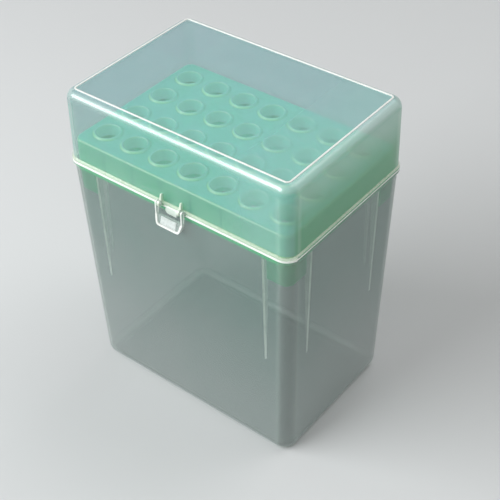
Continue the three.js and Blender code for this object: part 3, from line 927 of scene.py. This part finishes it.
# ---------- geometry node tools ----------
class Recipe(Nodes):
    """A geometry node tree with named inputs."""

    def __init__(self, name):
        super().__init__(bpy.data.node_groups.new(name, "GeometryNodeTree"))
        for way in ("INPUT", "OUTPUT"):
            self.socket("Geometry", way, "Geometry")
        self.taken = self.node("NodeGroupInput").outputs
        self.given = self.node("NodeGroupOutput").inputs
        self.values = {}

    def socket(self, name, way, kind):
        return self.tree.interface.new_socket(
            name=name, in_out=way, socket_type="NodeSocket" + kind
        )

    def input(self, name, kind, value):
        """A named input and the value that the piece will give it."""
        self.values[self.socket(name, "INPUT", kind).identifier] = value
        return self.taken[name]

    def step(self, kind, inputs=(), **values):
        """A geometry node's first output."""
        return self.node("GeometryNode" + kind, inputs, **values).outputs[0]

    def vector(self, x=0.0, y=0.0, z=0.0):
        return self.node("ShaderNodeCombineXYZ", {0: x, 1: y, 2: z}).outputs[0]

    def joined(self, kind, socket, parts, inputs=(), **values):
        """A geometry node that takes several parts in one socket."""
        made = self.node("GeometryNode" + kind, inputs, **values)
        for part in parts:
            self.tree.links.new(part, made.inputs[socket])
        return made.outputs[0]

    def finish(self, piece, geometry, material):
        """Ends the tree in real, dressed geometry and settles it on a piece."""
        real = self.step("RealizeInstances", {0: geometry})
        dressed = self.step("SetMaterial", {"Geometry": real, "Material": material})
        self.feed(self.given[0], dressed)
        modifier = piece.modifiers.new("recipe", "NODES")
        modifier.node_group = self.tree
        for identifier, value in self.values.items():
            modifier[identifier] = value
        settle(piece)


# ---------- body ----------
def body_shell():
    """Wall, floor and bead in one loft: up the outside, over the rim, down the inside."""
    case, body = settings().case, settings().body
    top, bead_z = rim_z(), rim_z() - body.bead
    radius, steps = body.foot_fillet, case.fillet_steps
    still_curved = 0.999 * radius
    rings = []
    for inset, z in arc(body.foot_inset + radius, radius, radius, 270, 180, steps):
        outer = inset if z < still_curved else body_inset(z)
        rings.append(ring(outer, body.foot_corner - (inset - body.foot_inset), z))
    slope_z = bead_z - body.slope
    wall_corner = case.corner - body.top_inset
    rings.append(ring(body_inset(slope_z), wall_corner, slope_z))
    profile = list(arc(case.edge, bead_z + case.edge * 0.6, case.edge, 235, 180, 3))
    profile.append((0.0, top - body.white_rim))
    profile += arc(case.edge, top - case.edge, case.edge, 180, 90, 4)
    lip, half_edge = body.top_inset + body.wall, case.edge / 2
    profile += arc(lip - half_edge, top - half_edge, half_edge, 90, 0, 3)
    rings += rings_round(profile, case.corner)

    inner_corner = wall_corner - body.wall
    foot_corner = body.foot_corner - body.wall
    for part_way in (0.33, 0.66):
        z = top - case.edge - part_way * (top - body.floor)
        share_down = (top - z) / (top - body.floor)
        corner = inner_corner + (foot_corner - inner_corner) * share_down
        rings.append(ring(body_inset(z) + body.wall, corner, z))
    radius -= body.wall
    inner_inset = body.foot_inset + body.wall
    for inset, z in arc(inner_inset + radius, body.floor + radius, radius, 180, 270, steps):
        pull = inset - body.foot_inset - body.wall
        outer = inset if pull > 0.05 * MM else body_inset(z) + body.wall
        rings.append(ring(outer, foot_corner - pull, z))
    return loft("body_shell", rings)


def rack_fins():
    """The eight fins that the rack sits on, as closed prisms let into the inner wall."""
    case, body, rack = settings().case, settings().body, settings().rack
    top = RACK_HIGH.z - rack.skirt - case.joint_gap
    foot = top - body.fin_height
    buried = 0.3 * body.wall
    fins = []
    walls = (
        (case.size_y / 2, case.size_x / 2 - body.fin_from_end_x, 0),
        (case.size_x / 2, case.size_y / 2 - body.fin_from_end_y, 90),
    )
    for half, place, turn in walls:
        high, low = (half - body_inset(z) - body.wall for z in (top, foot))
        outline = ((high - body.fin_reach, top), (high + buried, top), (low + buried, foot), (low, foot))
        for side, across in itertools.product(SIDES, SIDES):
            span = about(across * place, body.fin_thickness / 2)
            fin = hull_prism("fin", [(side * y, z) for y, z in outline], span)
            mark(fin, THICK)
            fin.data.transform(Matrix.Rotation(math.radians(turn), 4, "Z"))
            fins.append(eased(fin, EASE, 2))
    return fins


def heel_tip(turn):
    """Tip of the heel on the lid's arm, after a turn of the lid."""
    hinge = settings().hinge
    angle = hinge.heel_angle + turn
    return HINGE.y - hinge.heel * math.cos(angle), HINGE.z + hinge.heel * math.sin(angle)


def body_hinges():
    """Cuts, brackets and bores for the two hinges."""
    case, body, hinge = settings().case, settings().body, settings().hinge
    bridge = heel_tip(hinge.open_angle)[1] - case.joint_gap
    root = case.size_y / 2 - body_inset(bridge) - body.wall / 2
    foot = [(HINGE.y + hinge.boss, bridge - hinge.boss / 2), (root, bridge - hinge.bracket)]
    half = hinge.arm_width / 2 + case.joint_gap
    relief = circle(HINGE, HINGE.y - case.size_y / 2 + body.top_inset)
    lug = circle(HINGE, hinge.boss) + [(root, bridge - hinge.boss)] + foot
    bar = [(root, bridge), (HINGE.y + hinge.boss, bridge)] + foot
    bore = circle(HINGE, hinge.pin + hinge.clearance)
    cuts, adds, bores = [], [], []
    for side in SIDES:
        centre = side * hinge.spacing / 2
        cuts.append(hull_prism("relief", relief, about(centre, half)))
        for end in SIDES:
            span = sorted((centre + end * half, centre + end * (half + hinge.lug_width)))
            adds.append(eased(hull_prism("lug", lug, span)))
        adds.append(eased(hull_prism("bridge", bar, about(centre, half + hinge.lug_width / 2))))
        bores.append(hull_prism("bore", bore, about(centre, half + hinge.lug_width + PAST)))
    return cuts, adds, bores


def rim_catch():
    """Catch that the latch bar snaps over, with its lower corners rounded."""
    case, body = settings().case, settings().body
    front = -case.size_y / 2
    top, bead = rim_z() - case.edge, rim_z() - body.bead
    foot = bead - body.catch_height
    outline = (
        (front + body.top_inset + body.wall / 2, top, foot - body.catch_lead),
        (front, top, foot),
        (front - body.catch_reach, bead, foot + body.catch_lead),
    )
    points = []
    for side in SIDES:
        for y, high, low in outline:
            points.append(Vector((side * body.catch_half, y, high)))
            for turn in map(math.radians, (0, 30, 60, 90)):
                across = body.catch_half - body.catch_corner * (1 - math.cos(turn))
                drop = body.catch_corner * (1 - math.sin(turn))
                points.append(Vector((side * across, y, low + drop)))
    return eased(hull("catch", points))


def lug_span():
    """Inner and outer X of the latch lugs on the lid."""
    latch, hinge, lid = settings().latch, settings().hinge, settings().lid
    outer = latch.half_width - latch.arm - hinge.clearance
    return outer - lid.lug_thickness, outer


def rim_reliefs():
    """Cuts in the rim for the latch lugs and the arms beside them."""
    case, lid, latch = settings().case, settings().lid, settings().latch
    inner = lug_span()[0] - case.joint_gap
    outer = latch.half_width + case.joint_gap
    around = circle(PIVOT, lid.lug_nose + case.joint_gap)
    return [hull_prism("rim_relief", around, flank(side, inner, outer)) for side in SIDES]


class TIPBOX_OT_body(bpy.types.Operator):
    """Build the tapered body with its rim bead, fins, catch and hinge brackets"""

    bl_idname = "tip_box.body"
    bl_label = "Body"

    def execute(self, context):
        finish = settings().finish
        body = body_shell()
        body.name = "body_shell"
        white = rim_z() - settings().body.white_rim
        # The bead's end faces keep the thin wall's material, so they show less white: painted shade on the
        # ends.
        mark(body, lambda face: BEAD if face.center.z > white and not on_end(face) else WALL)
        cuts, adds, bores = body_hinges()
        for solid in adds:
            mark(solid, THICK)
        catch = rim_catch()
        mark(catch, SNAP)
        combine(body, cuts, "DIFFERENCE")
        combine(body, [*adds, catch], "UNION")
        combine(body, [*bores, *rim_reliefs()], "DIFFERENCE")
        combine(body, rack_fins(), "UNION")
        smooth(body)
        dress(
            body,
            cloudy_body("cloudy_body"),
            thick_plastic("body_bead", finish.bead, opacity=0.94),
            thick_plastic("thick_body", finish.fin, opacity=0.74, glow=finish.fin_glow),
            thick_plastic("body_catch", finish.catch, opacity=0.85),
        )
        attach(body, "base")
        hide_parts("box_body")
        return {"FINISHED"}


# ---------- lid ----------
def lid_shell():
    """Lid in one loft: down the inside, round the bead, up the outside, over the ridge."""
    case, lid = settings().case, settings().lid
    corner = case.corner - lid.foot_inset
    foot, panel = lid_z(), panel_z()
    steps, half_edge = case.fillet_steps, case.edge / 2
    radius = lid.fillet - lid.wall
    inner_top = lid.top_inset + lid.wall
    inside = arc(inner_top + radius, panel - lid.wall - radius, radius, 90, 180, steps)
    rings = rings_round(inside, corner - lid.wall + inner_top)
    lip = lid.foot_inset + lid.wall
    profile = list(arc(lip - half_edge, foot + half_edge, half_edge, 0, -90, 3))
    profile += arc(case.edge, foot + case.edge, case.edge, 270, 180, 4)
    profile += arc(case.edge, foot + lid.bead - case.edge, case.edge, 180, 110, 4)
    rings += rings_round(profile, case.corner)
    shoulder_z = foot + lid.bead + lid.shoulder
    rings.append(ring(lid_inset(shoulder_z), corner, shoulder_z))
    crest = lid.ridge_inset - lid.top_inset
    radius = lid.fillet
    for inset, z in arc(lid.top_inset + radius, panel - radius, radius, 180, 90, 2 * steps):
        pull = inset - lid.top_inset
        if pull < crest - 0.1 * MM:
            rings.append(ring(inset if pull > 0.01 * MM else lid_inset(z), corner - pull, z))

    ease, top = 0.12 * MM, CAD_HIGH.z
    outer, inner = lid.ridge_inset, lid.ridge_inset + lid.ridge_width
    profile = [(outer - ease, panel), (outer, panel + 0.2 * ease)]
    profile += arc(outer + ease, top - ease, ease, 180, 90, 3)
    profile += arc(inner - ease, top - ease, ease, 90, 0, 3)
    profile += [(inner, panel + 0.2 * ease), (inner + ease, panel)]
    rings += rings_round(profile, lid.ridge_corner + outer)
    return loft("lid_shell", rings)


def lid_hinges():
    """Cuts, arms and pins for the two hinges."""
    case, lid, hinge = settings().case, settings().lid, settings().hinge
    root = case.size_y / 2 - lid.foot_inset - lid.wall / 2
    reach = hinge.arm_width / 2 + case.joint_gap + hinge.lug_width
    relief = circle(HINGE, hinge.boss + hinge.clearance)
    arm = circle(HINGE, hinge.boss) + [heel_tip(0.0)]
    arm += [(root, lid_z() + lid.bead), (root, lid_z() + hinge.arm_height)]
    pin = circle(HINGE, hinge.pin)
    cuts, arms, pins = [], [], []
    for side in SIDES:
        centre = side * hinge.spacing / 2
        cuts.append(hull_prism("relief", relief, about(centre, reach + case.joint_gap)))
        arms.append(eased(hull_prism("arm", arm, about(centre, hinge.arm_width / 2))))
        pins.append(eased(hull_prism("pin", pin, about(centre, reach)), 0.15 * MM))
    return cuts, arms, pins


def latch_lugs():
    """Rooms for the latch's arms, lugs with their pointed gussets, and pin holes."""
    case, lid, latch, hinge = settings().case, settings().lid, settings().latch, settings().hinge
    inner, outer = lug_span()
    arm_side = latch.half_width + case.joint_gap
    root = -(case.size_y / 2 - lid.foot_inset - lid.wall / 2)
    front = -case.size_y / 2 - lid.gusset_reach
    low, high, tip = (lid_z() + rise for rise in (0.5 * MM, lid.bead, lid.lug_gusset))
    room = circle(PIVOT, latch.boss + case.joint_gap)
    nose = circle(PIVOT, lid.lug_nose) + [(root, high)]
    hole = circle(PIVOT, latch.pin + hinge.clearance)
    rooms, lugs, holes = [], [], []
    for side in SIDES:
        span = flank(side, inner, outer)
        rooms.append(hull_prism("room", room, flank(side, outer, arm_side)))
        lugs.append(eased(hull_prism("lug", nose, span), 0.25 * MM))
        foot = ((root, low), (front, low), (front, high))
        points = [Vector((x, y, z)) for x in span for y, z in foot]
        for x in about(side * (inner + outer) / 2, lid.lug_tip / 2):
            points += [Vector((x, root, tip)), Vector((x, front + 1.0 * MM, tip))]
        lugs.append(eased(hull("gusset", points)))
        holes.append(hull_prism("hole", hole, flank(side, inner - PAST, arm_side)))
    return rooms, lugs, holes


def lid_hollow_core():
    """Space inside the lid's foot, which keeps the lugs and arms out of it."""
    case, lid = settings().case, settings().lid
    inset = lid.foot_inset + lid.wall
    below, above = lid_z() - 5 * MM, lid_z() + 8 * MM
    return loft("core", [ring(inset, case.corner - inset, z) for z in (below, above)])


class TIPBOX_OT_lid(bpy.types.Operator):
    """Build the lid with its bead, stacking ridge, hinge arms and latch lugs"""

    bl_idname = "tip_box.lid"
    bl_label = "Lid"

    def execute(self, context):
        finish, sizes = settings().finish, settings().lid
        lid = lid_shell()
        bead_top = lid_z() + sizes.bead + 0.5 * sizes.shoulder
        ridge = panel_z() + 0.05 * MM

        def slot_of(face):
            if face.center.z > ridge:
                return BEAD
            return THICK if face.center.z < bead_top and not on_end(face) else WALL

        mark(lid, slot_of)
        cuts, arms, pins = lid_hinges()
        rooms, lugs, holes = latch_lugs()
        for solid in [*arms, *pins]:
            mark(solid, THICK)
        for lug in lugs:
            mark(lug, SNAP)
        hollow = lid_hollow_core()
        combine(lid, [*cuts, *rooms], "DIFFERENCE")
        combine(lid, [*arms, *pins, *lugs], "UNION")
        combine(lid, [*holes, hollow], "DIFFERENCE")
        smooth(lid)
        dress(
            lid,
            cloudy_lid("cloudy_lid"),
            thick_plastic("lid_ridge", finish.bead, opacity=0.95),
            thick_plastic("thick_lid", finish.thick, opacity=0.27),
            thick_plastic("lid_lugs", finish.lug, opacity=0.74),
        )
        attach(lid, "lid")
        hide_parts("lid")
        return {"FINISHED"}


# ---------- rack ----------
def rack_shell():
    """Plate, skirt and legs before the holes: down the inside, up the outside."""
    case, body, rack = settings().case, settings().body, settings().rack
    clear = body.wall + rack.side_gap
    corner = case.corner - body.top_inset - clear
    leg, top = RACK_LOW.z, RACK_HIGH.z
    skirt = top - rack.skirt
    leg_inset, skirt_inset = body_inset(leg) + clear, body_inset(skirt) + clear
    plate_inset = skirt_inset + rack.draft
    rings = [
        ring(inset + rack.wall, corner - rack.wall, z)
        for inset, z in ((plate_inset, top - rack.plate), (skirt_inset, skirt), (leg_inset, leg))
    ]
    rings += [ring(leg_inset, corner, leg), ring(skirt_inset, corner, skirt)]
    rolled = arc(plate_inset + rack.fillet, top - rack.fillet, rack.fillet, 180, 90, 6)
    rings += rings_round(rolled, corner + plate_inset)
    return loft("rack_shell", rings)


def collar_profile():
    """Section of one hole's collar, with the rolled lip that stands round the hole."""
    rack = settings().rack
    foot, throat, wall = rack.foot / 2, rack.throat / 2, rack.collar_wall
    lip_height, half = 0.8 * MM, 0.4 * MM
    outer = rack.hole / 2 + 0.95 * MM
    profile = [
        (foot, -rack.collar),
        (foot + wall, -rack.collar),
        (throat + wall, -rack.plate),
        (throat + wall, -0.3 * MM),
        (outer, -0.2 * MM),
        (outer, 0.0),
    ]
    for angle in (math.pi * k / 8 for k in range(2, 8)):
        z = lip_height - half + half * math.sin(angle)
        profile.append((throat + half + half * math.cos(angle), z))
    profile.append((throat + 0.02 * MM, -0.1 * MM))
    profile.append((throat - 0.05 * MM, -rack.ease))
    return [(r, RACK_HIGH.z + z) for r, z in reversed(profile)]


def rack_recipe(collar):
    """Holes, collars and ribs on a grid, legs cut free of the skirt."""
    case, rack = settings().case, settings().rack
    recipe = Recipe("rack_grid")
    columns = recipe.input("Columns", "Int", rack.columns)
    rows = recipe.input("Rows", "Int", rack.rows)
    holder = recipe.input("Collar", "Object", collar)
    lengths = {
        "Column pitch": rack.pitch_x,
        "Row pitch": rack.pitch_y,
        "Bore radius": rack.throat / 2 + 0.5 * rack.collar_wall,
        "Plate top": RACK_HIGH.z,
        "Plate thickness": rack.plate,
        "Rib thickness": rack.rib,
        "Rib depth": rack.rib_depth,
        "Rib length X": 2 * RACK_HIGH.x - 1.4 * rack.wall,
        "Rib length Y": 2 * RACK_HIGH.y - 1.4 * rack.wall,
        "Leg gap X": 2 * (RACK_HIGH.x - rack.leg_x),
        "Leg gap Y": 2 * (RACK_HIGH.y - rack.leg_y),
        "Skirt foot": RACK_HIGH.z - rack.skirt,
    }
    size = {name: recipe.input(name, "Float", value) for name, value in lengths.items()}
    pitch_x, pitch_y, rib, top = (
        size[name] for name in ("Column pitch", "Row pitch", "Rib thickness", "Plate top")
    )

    gaps_x, gaps_y = recipe.minus(columns, 1.0), recipe.minus(rows, 1.0)
    spread = {"Size X": recipe.times(gaps_x, pitch_x), "Size Y": recipe.times(gaps_y, pitch_y)}
    grid = recipe.step("MeshGrid", {**spread, "Vertices X": columns, "Vertices Y": rows})
    drill = {"Vertices": 64, "Radius": size["Bore radius"], "Depth": 10 * MM}
    cutter = recipe.step("MeshCylinder", drill)
    raised = recipe.step("Transform", {"Geometry": grid, "Translation": recipe.vector(z=top)})
    bores = recipe.step("InstanceOnPoints", {"Points": raised, "Instance": cutter})

    deep, wide = 40 * MM, 2 * case.size_x
    below = recipe.vector(z=recipe.minus(size["Skirt foot"], deep / 2))
    cutters = []
    for gap in (size["Leg gap X"], wide, deep), (wide, size["Leg gap Y"], deep):
        cube = recipe.step("MeshCube", {"Size": recipe.vector(*gap)})
        cutters.append(recipe.step("Transform", {"Geometry": cube, "Translation": below}))
    cutters.append(recipe.step("RealizeInstances", {0: bores}))
    shell, method = {"Mesh 1": recipe.taken[0]}, {"operation": "DIFFERENCE", "solver": "EXACT"}
    cut = recipe.joined("MeshBoolean", "Mesh 2", cutters, shell, **method)

    collar_mesh = recipe.node("GeometryNodeObjectInfo", {"Object": holder}).outputs["Geometry"]
    collars = recipe.step("InstanceOnPoints", {"Points": grid, "Instance": collar_mesh})

    depth, half_plate = size["Rib depth"], recipe.times(size["Plate thickness"], 0.5)
    height = recipe.minus(depth, half_plate)
    middle = recipe.minus(recipe.minus(top, depth), recipe.times(height, -0.5))
    ribs = []
    for gaps, pitch, along, rib_size in (
        (gaps_x, pitch_x, "x", (rib, size["Rib length Y"], height)),
        (gaps_y, pitch_y, "y", (size["Rib length X"], rib, height)),
    ):
        start = recipe.times(recipe.times(recipe.minus(gaps, 1.0), pitch), -0.5)
        line = {
            "Count": gaps,
            "Start Location": recipe.vector(**{along: start}, z=middle),
            "Offset": recipe.vector(**{along: pitch}),
        }
        cube = recipe.step("MeshCube", {"Size": recipe.vector(*rib_size)})
        spots = recipe.step("MeshLine", line)
        ribs.append(recipe.step("InstanceOnPoints", {"Points": spots, "Instance": cube}))
    return recipe, recipe.joined("JoinGeometry", 0, [cut, collars, *ribs])


class TIPBOX_OT_rack(bpy.types.Operator):
    """Build the perforated green rack with its collars, ribs and legs"""

    bl_idname = "tip_box.rack"
    bl_label = "Rack"

    def execute(self, context):
        green = green_plastic("green_rack_plastic")
        rack = rack_shell()
        collar = lathe("collar", collar_profile(), 48)
        recipe, geometry = rack_recipe(collar)
        recipe.finish(rack, geometry, green)
        bpy.data.objects.remove(collar)
        smooth(rack)
        rack.name = "rack_green"
        dress(rack, green)
        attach(rack, "base")
        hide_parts("tip_rack")
        return {"FINISHED"}


# ---------- latch ----------
def latch_planes():
    """Back face of the bar, the bar's top, the bend below it and the lip's foot."""
    case, body, latch = settings().case, settings().body, settings().latch
    back = -(case.size_y / 2 + body.catch_reach + latch.clearance)
    bar_top = rim_z() - body.bead - body.catch_height - latch.window
    return back, bar_top, bar_top - latch.bar, LATCH_LOW.z


def lip_place(x, drop, proud):
    """Place on the finger lip: drop below the bend, proud of its back face."""
    latch = settings().latch
    back, _, bend, foot = latch_planes()
    foot_back = LATCH_LOW.y + latch.rim + latch.plate
    lean = drop / (bend - foot)
    return Vector((x, back + (foot_back - back) * lean - proud, bend - drop))


def lip_outline(margin, corner, steps=6):
    """Half-width and drop round the lip's edge, from the bend to the middle of its foot."""
    latch = settings().latch
    _, _, bend, foot = latch_planes()
    top = Vector((latch.half_width - margin, 0.0))
    side = Vector((latch.foot_half - margin, bend - foot - margin))
    start = side - (side - top).normalized() * corner
    end = Vector((side.x - corner, side.y))
    turned = [tuple(top)]
    for step in range(steps + 1):
        t = step / steps
        turned.append(tuple((1 - t) ** 2 * start + 2 * t * (1 - t) * side + t**2 * end))
    return turned


def lip_slab(name, outline, back, front):
    """Flat slab in the plane of the finger lip."""
    whole = outline + [(-x, drop) for x, drop in reversed(outline)]
    points = [lip_place(x, drop, proud) for proud in (back, front) for x, drop in whole]
    count = len(whole)
    faces = [tuple(range(count)), tuple(reversed(range(count, 2 * count)))]
    faces += [(i, count + i, count + (i + 1) % count, (i + 1) % count) for i in range(count)]
    made = from_faces(name, points, faces)
    with edited(made.data) as work:
        bmesh.ops.recalc_face_normals(work, faces=work.faces)
    return made


def latch_parts():
    """Arms, pins and bar of the latch; then its lip, the well that leaves its rim, and the pad."""
    latch = settings().latch
    back, bar_top, bend, _ = latch_planes()
    front = back - latch.plate
    edge = latch.half_width
    arm = circle(PIVOT, latch.boss) + [(back, bend), (front - latch.rim, bend)]
    pin = circle(PIVOT, latch.pin, 24)
    parts = []
    for side in SIDES:
        parts.append(eased(hull_prism("arm", arm, flank(side, edge - latch.strut, edge)), 0.3 * MM))
        reach = flank(side, lug_span()[0], edge - latch.strut / 2)
        parts.append(hull_prism("pin", pin, reach))
    bar = [(y, z) for z in (bar_top, bend - 0.2 * MM) for y in (front, back)]
    parts.append(hull_prism("bar", bar, about(0.0, edge - 0.3 * MM)))
    lip = lip_slab("lip", lip_outline(0.0, latch.foot_corner), 0.0, latch.plate + latch.rim)
    well_edge = lip_outline(latch.strut, latch.foot_corner * 0.6)
    well_edge[0] = (well_edge[0][0], -PAST)
    well = lip_slab("well", well_edge, latch.plate, latch.plate + 3 * latch.rim)
    pad_edge = [(latch.pad_half, 0.0), (latch.pad_half, latch.pad_length)]
    pad = lip_slab("pad", pad_edge, 0.5 * latch.plate, latch.plate + latch.pad_height)
    return parts, lip, well, pad


class TIPBOX_OT_latch(bpy.types.Operator):
    """Build the snap latch with its rim, window and thumb pad"""

    bl_idname = "tip_box.latch"
    bl_label = "Latch"

    def execute(self, context):
        finish = settings().finish
        parts, lip, well, pad = latch_parts()
        mark(lip, lambda face: WALL if face.normal.y > 0.5 else BEAD)
        mark(well, lambda face: WALL if abs(face.normal.y) > 0.5 else BEAD)
        combine(lip, [well], "DIFFERENCE")
        for part in parts:
            plain = part.name.startswith("bar")
            mark(part, lambda face: WALL if plain or abs(face.normal.x) > 0.9 else BEAD)
        combine(lip, parts, "UNION")
        eased(pad, 0.15 * MM)
        mark(pad, THICK)
        combine(lip, [pad], "UNION")
        smooth(lip)
        lip.name = "latch_clip"
        dress(
            lip,
            thick_plastic("latch_plate", finish.clear, opacity=0.32),
            thick_plastic("latch_rim", finish.bead, opacity=0.86),
            frosted_pad("latch_pad"),
        )
        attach(lip, "latch")
        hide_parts("snap_latch")
        return {"FINISHED"}


# ---------- stage ----------
def paper(name, tint):
    """Matt paper, with a soft unevenness."""
    material = bpy.data.materials.new(name)
    material.use_nodes = True
    nodes = Nodes(material.node_tree)
    shader = next(n for n in nodes.tree.nodes if n.type == "BSDF_PRINCIPLED")
    soft = nodes.noise(nodes.place(), 6.0, detail=3.0)
    shade = nodes.mixed(soft, rgba(c * 0.985 for c in tint), rgba(tint))
    inputs = {"Base Color": shade, "Roughness": 0.8, "Specular IOR Level": 0.2}
    for key, source in inputs.items():
        nodes.feed(shader.inputs[key], source)
    return material


def sweep_sheet():
    """Floor that curves up into a backdrop; sizes in metres."""
    half, front, back, radius, height = 8.0, -8.0, 1.6, 0.7, 3.2
    line = [(front, 0.0), (back - radius, 0.0)]
    for angle in (math.pi / 2 * k / 16 for k in range(1, 17)):
        line.append((back - radius + radius * math.sin(angle), radius - radius * math.cos(angle)))
    line.append((back, height))
    points = [Vector((x, y, z)) for y, z in line for x in (-half, half)]
    faces = [(2 * i, 2 * i + 1, 2 * i + 3, 2 * i + 2) for i in range(len(line) - 1)]
    sheet = from_faces("stage_floor", points, faces)
    sheet.data.shade_smooth()
    sheet.data.transform(Matrix.Rotation(settings().stage.azimuth, 4, "Z"))
    return sheet


def lamp(name, place, size, watts, tint=(1.0, 1.0, 1.0)):
    """Softbox aimed a little above the middle of the box."""
    data = bpy.data.lights.new(name, "AREA")
    data.shape = "RECTANGLE"
    data.size, data.size_y = size
    data.energy = watts
    data.color = tint
    made = new_object(name, data)
    made.location = place
    aim = Vector((0, 0, CAD_HIGH.z * 0.6)) - place
    made.rotation_euler = aim.to_track_quat("-Z", "Y").to_euler()


def polar(azimuth, elevation, distance):
    """Place round the box; azimuth 0 is the front, 90 is +X, in degrees."""
    a, e = math.radians(azimuth), math.radians(elevation)
    return Vector((math.sin(a) * math.cos(e), -math.cos(a) * math.cos(e), math.sin(e))) * distance


def make_camera():
    """Camera on the middle of the box, moved a little along its own axes to frame it."""
    stage = settings().stage
    move_right, move_down, shift = 7.0 * MM, 6.77 * MM, -0.0036
    back = polar(math.degrees(stage.azimuth), math.degrees(stage.elevation), 1.0)
    level = Vector((0, 0, 1)).cross(back).normalized()
    above = back.cross(level)
    right = math.cos(stage.roll) * level + math.sin(stage.roll) * above
    up = math.cos(stage.roll) * above - math.sin(stage.roll) * level
    data = bpy.data.cameras.new("camera")
    data.lens, data.sensor_width = stage.lens, 36.0
    data.shift_x = shift
    data.clip_start, data.clip_end = 0.05, 20.0
    camera = new_object("camera", data)
    middle = Vector((0, 0, CAD_HIGH.z / 2))
    place = middle + back * stage.distance + right * move_right - up * move_down
    turned = Matrix((right, up, back)).transposed().to_4x4()
    camera.matrix_world = Matrix.Translation(place) @ turned
    bpy.context.scene.camera = camera


def make_world():
    world = bpy.data.worlds.new("studio")
    world.use_nodes = True
    background = next(n for n in world.node_tree.nodes if n.type == "BACKGROUND")
    background.inputs["Color"].default_value = (1.0, 1.0, 0.96, 1.0)
    background.inputs["Strength"].default_value = 0.33
    bpy.context.scene.world = world


class TIPBOX_OT_stage(bpy.types.Operator):
    """Build the pale floor, the soft lamps and the camera"""

    bl_idname = "tip_box.stage"
    bl_label = "Stage"

    def execute(self, context):
        sheet = sweep_sheet()
        sheet.data.materials.append(paper("stage_paper", settings().stage.floor_colour))
        lamp("key_softbox", polar(-36, 38, 1.2), (1.1, 0.5), watts=14.0, tint=(0.98, 1.0, 1.0))
        lamp("back_softbox", polar(133, 28, 1.3), (0.9, 0.9), watts=1.6)
        lamp("top_softbox", polar(162, 60, 1.4), (1.0, 0.8), watts=5.0)
        make_world()
        make_camera()
        bpy.context.scene.view_settings.view_transform = "Standard"
        return {"FINISHED"}


# ---------- sidebar ----------
class TIPBOX_PT_panel(bpy.types.Panel):
    """Sizes, finishes and one button for each piece"""

    bl_label = "Tip Box"
    bl_idname = "TIPBOX_PT_panel"
    bl_space_type = "VIEW_3D"
    bl_region_type = "UI"
    bl_category = "Tip Box"

    def draw(self, context):
        layout = self.layout
        for operator in PIECES:
            layout.operator(operator.bl_idname)
        for group in ("case", "body", "lid", "hinge", "rack", "latch", "finish", "stage"):
            held = getattr(context.scene.tip_box, group)
            column = layout.column(align=True)
            column.label(text=group.capitalize())
            for name in held.bl_rna.properties.keys():
                if name not in ("name", "rna_type"):
                    column.prop(held, name)


GROUPS = (
    TipBoxCase,
    TipBoxBody,
    TipBoxLid,
    TipBoxHinge,
    TipBoxRack,
    TipBoxLatch,
    TipBoxFinish,
    TipBoxStage,
    TipBoxSettings,
)
PIECES = (TIPBOX_OT_body, TIPBOX_OT_lid, TIPBOX_OT_rack, TIPBOX_OT_latch, TIPBOX_OT_stage)


def register():
    for item in (*GROUPS, *PIECES, TIPBOX_PT_panel):
        bpy.utils.register_class(item)
    bpy.types.Scene.tip_box = PointerProperty(type=TipBoxSettings)


def unregister():
    del bpy.types.Scene.tip_box
    for item in reversed((*GROUPS, *PIECES, TIPBOX_PT_panel)):
        bpy.utils.unregister_class(item)


def main():
    register()
    bpy.ops.tip_box.body()
    bpy.ops.tip_box.lid()
    bpy.ops.tip_box.rack()
    bpy.ops.tip_box.latch()
    bpy.ops.tip_box.stage()


if __name__ == "__main__":
    main()
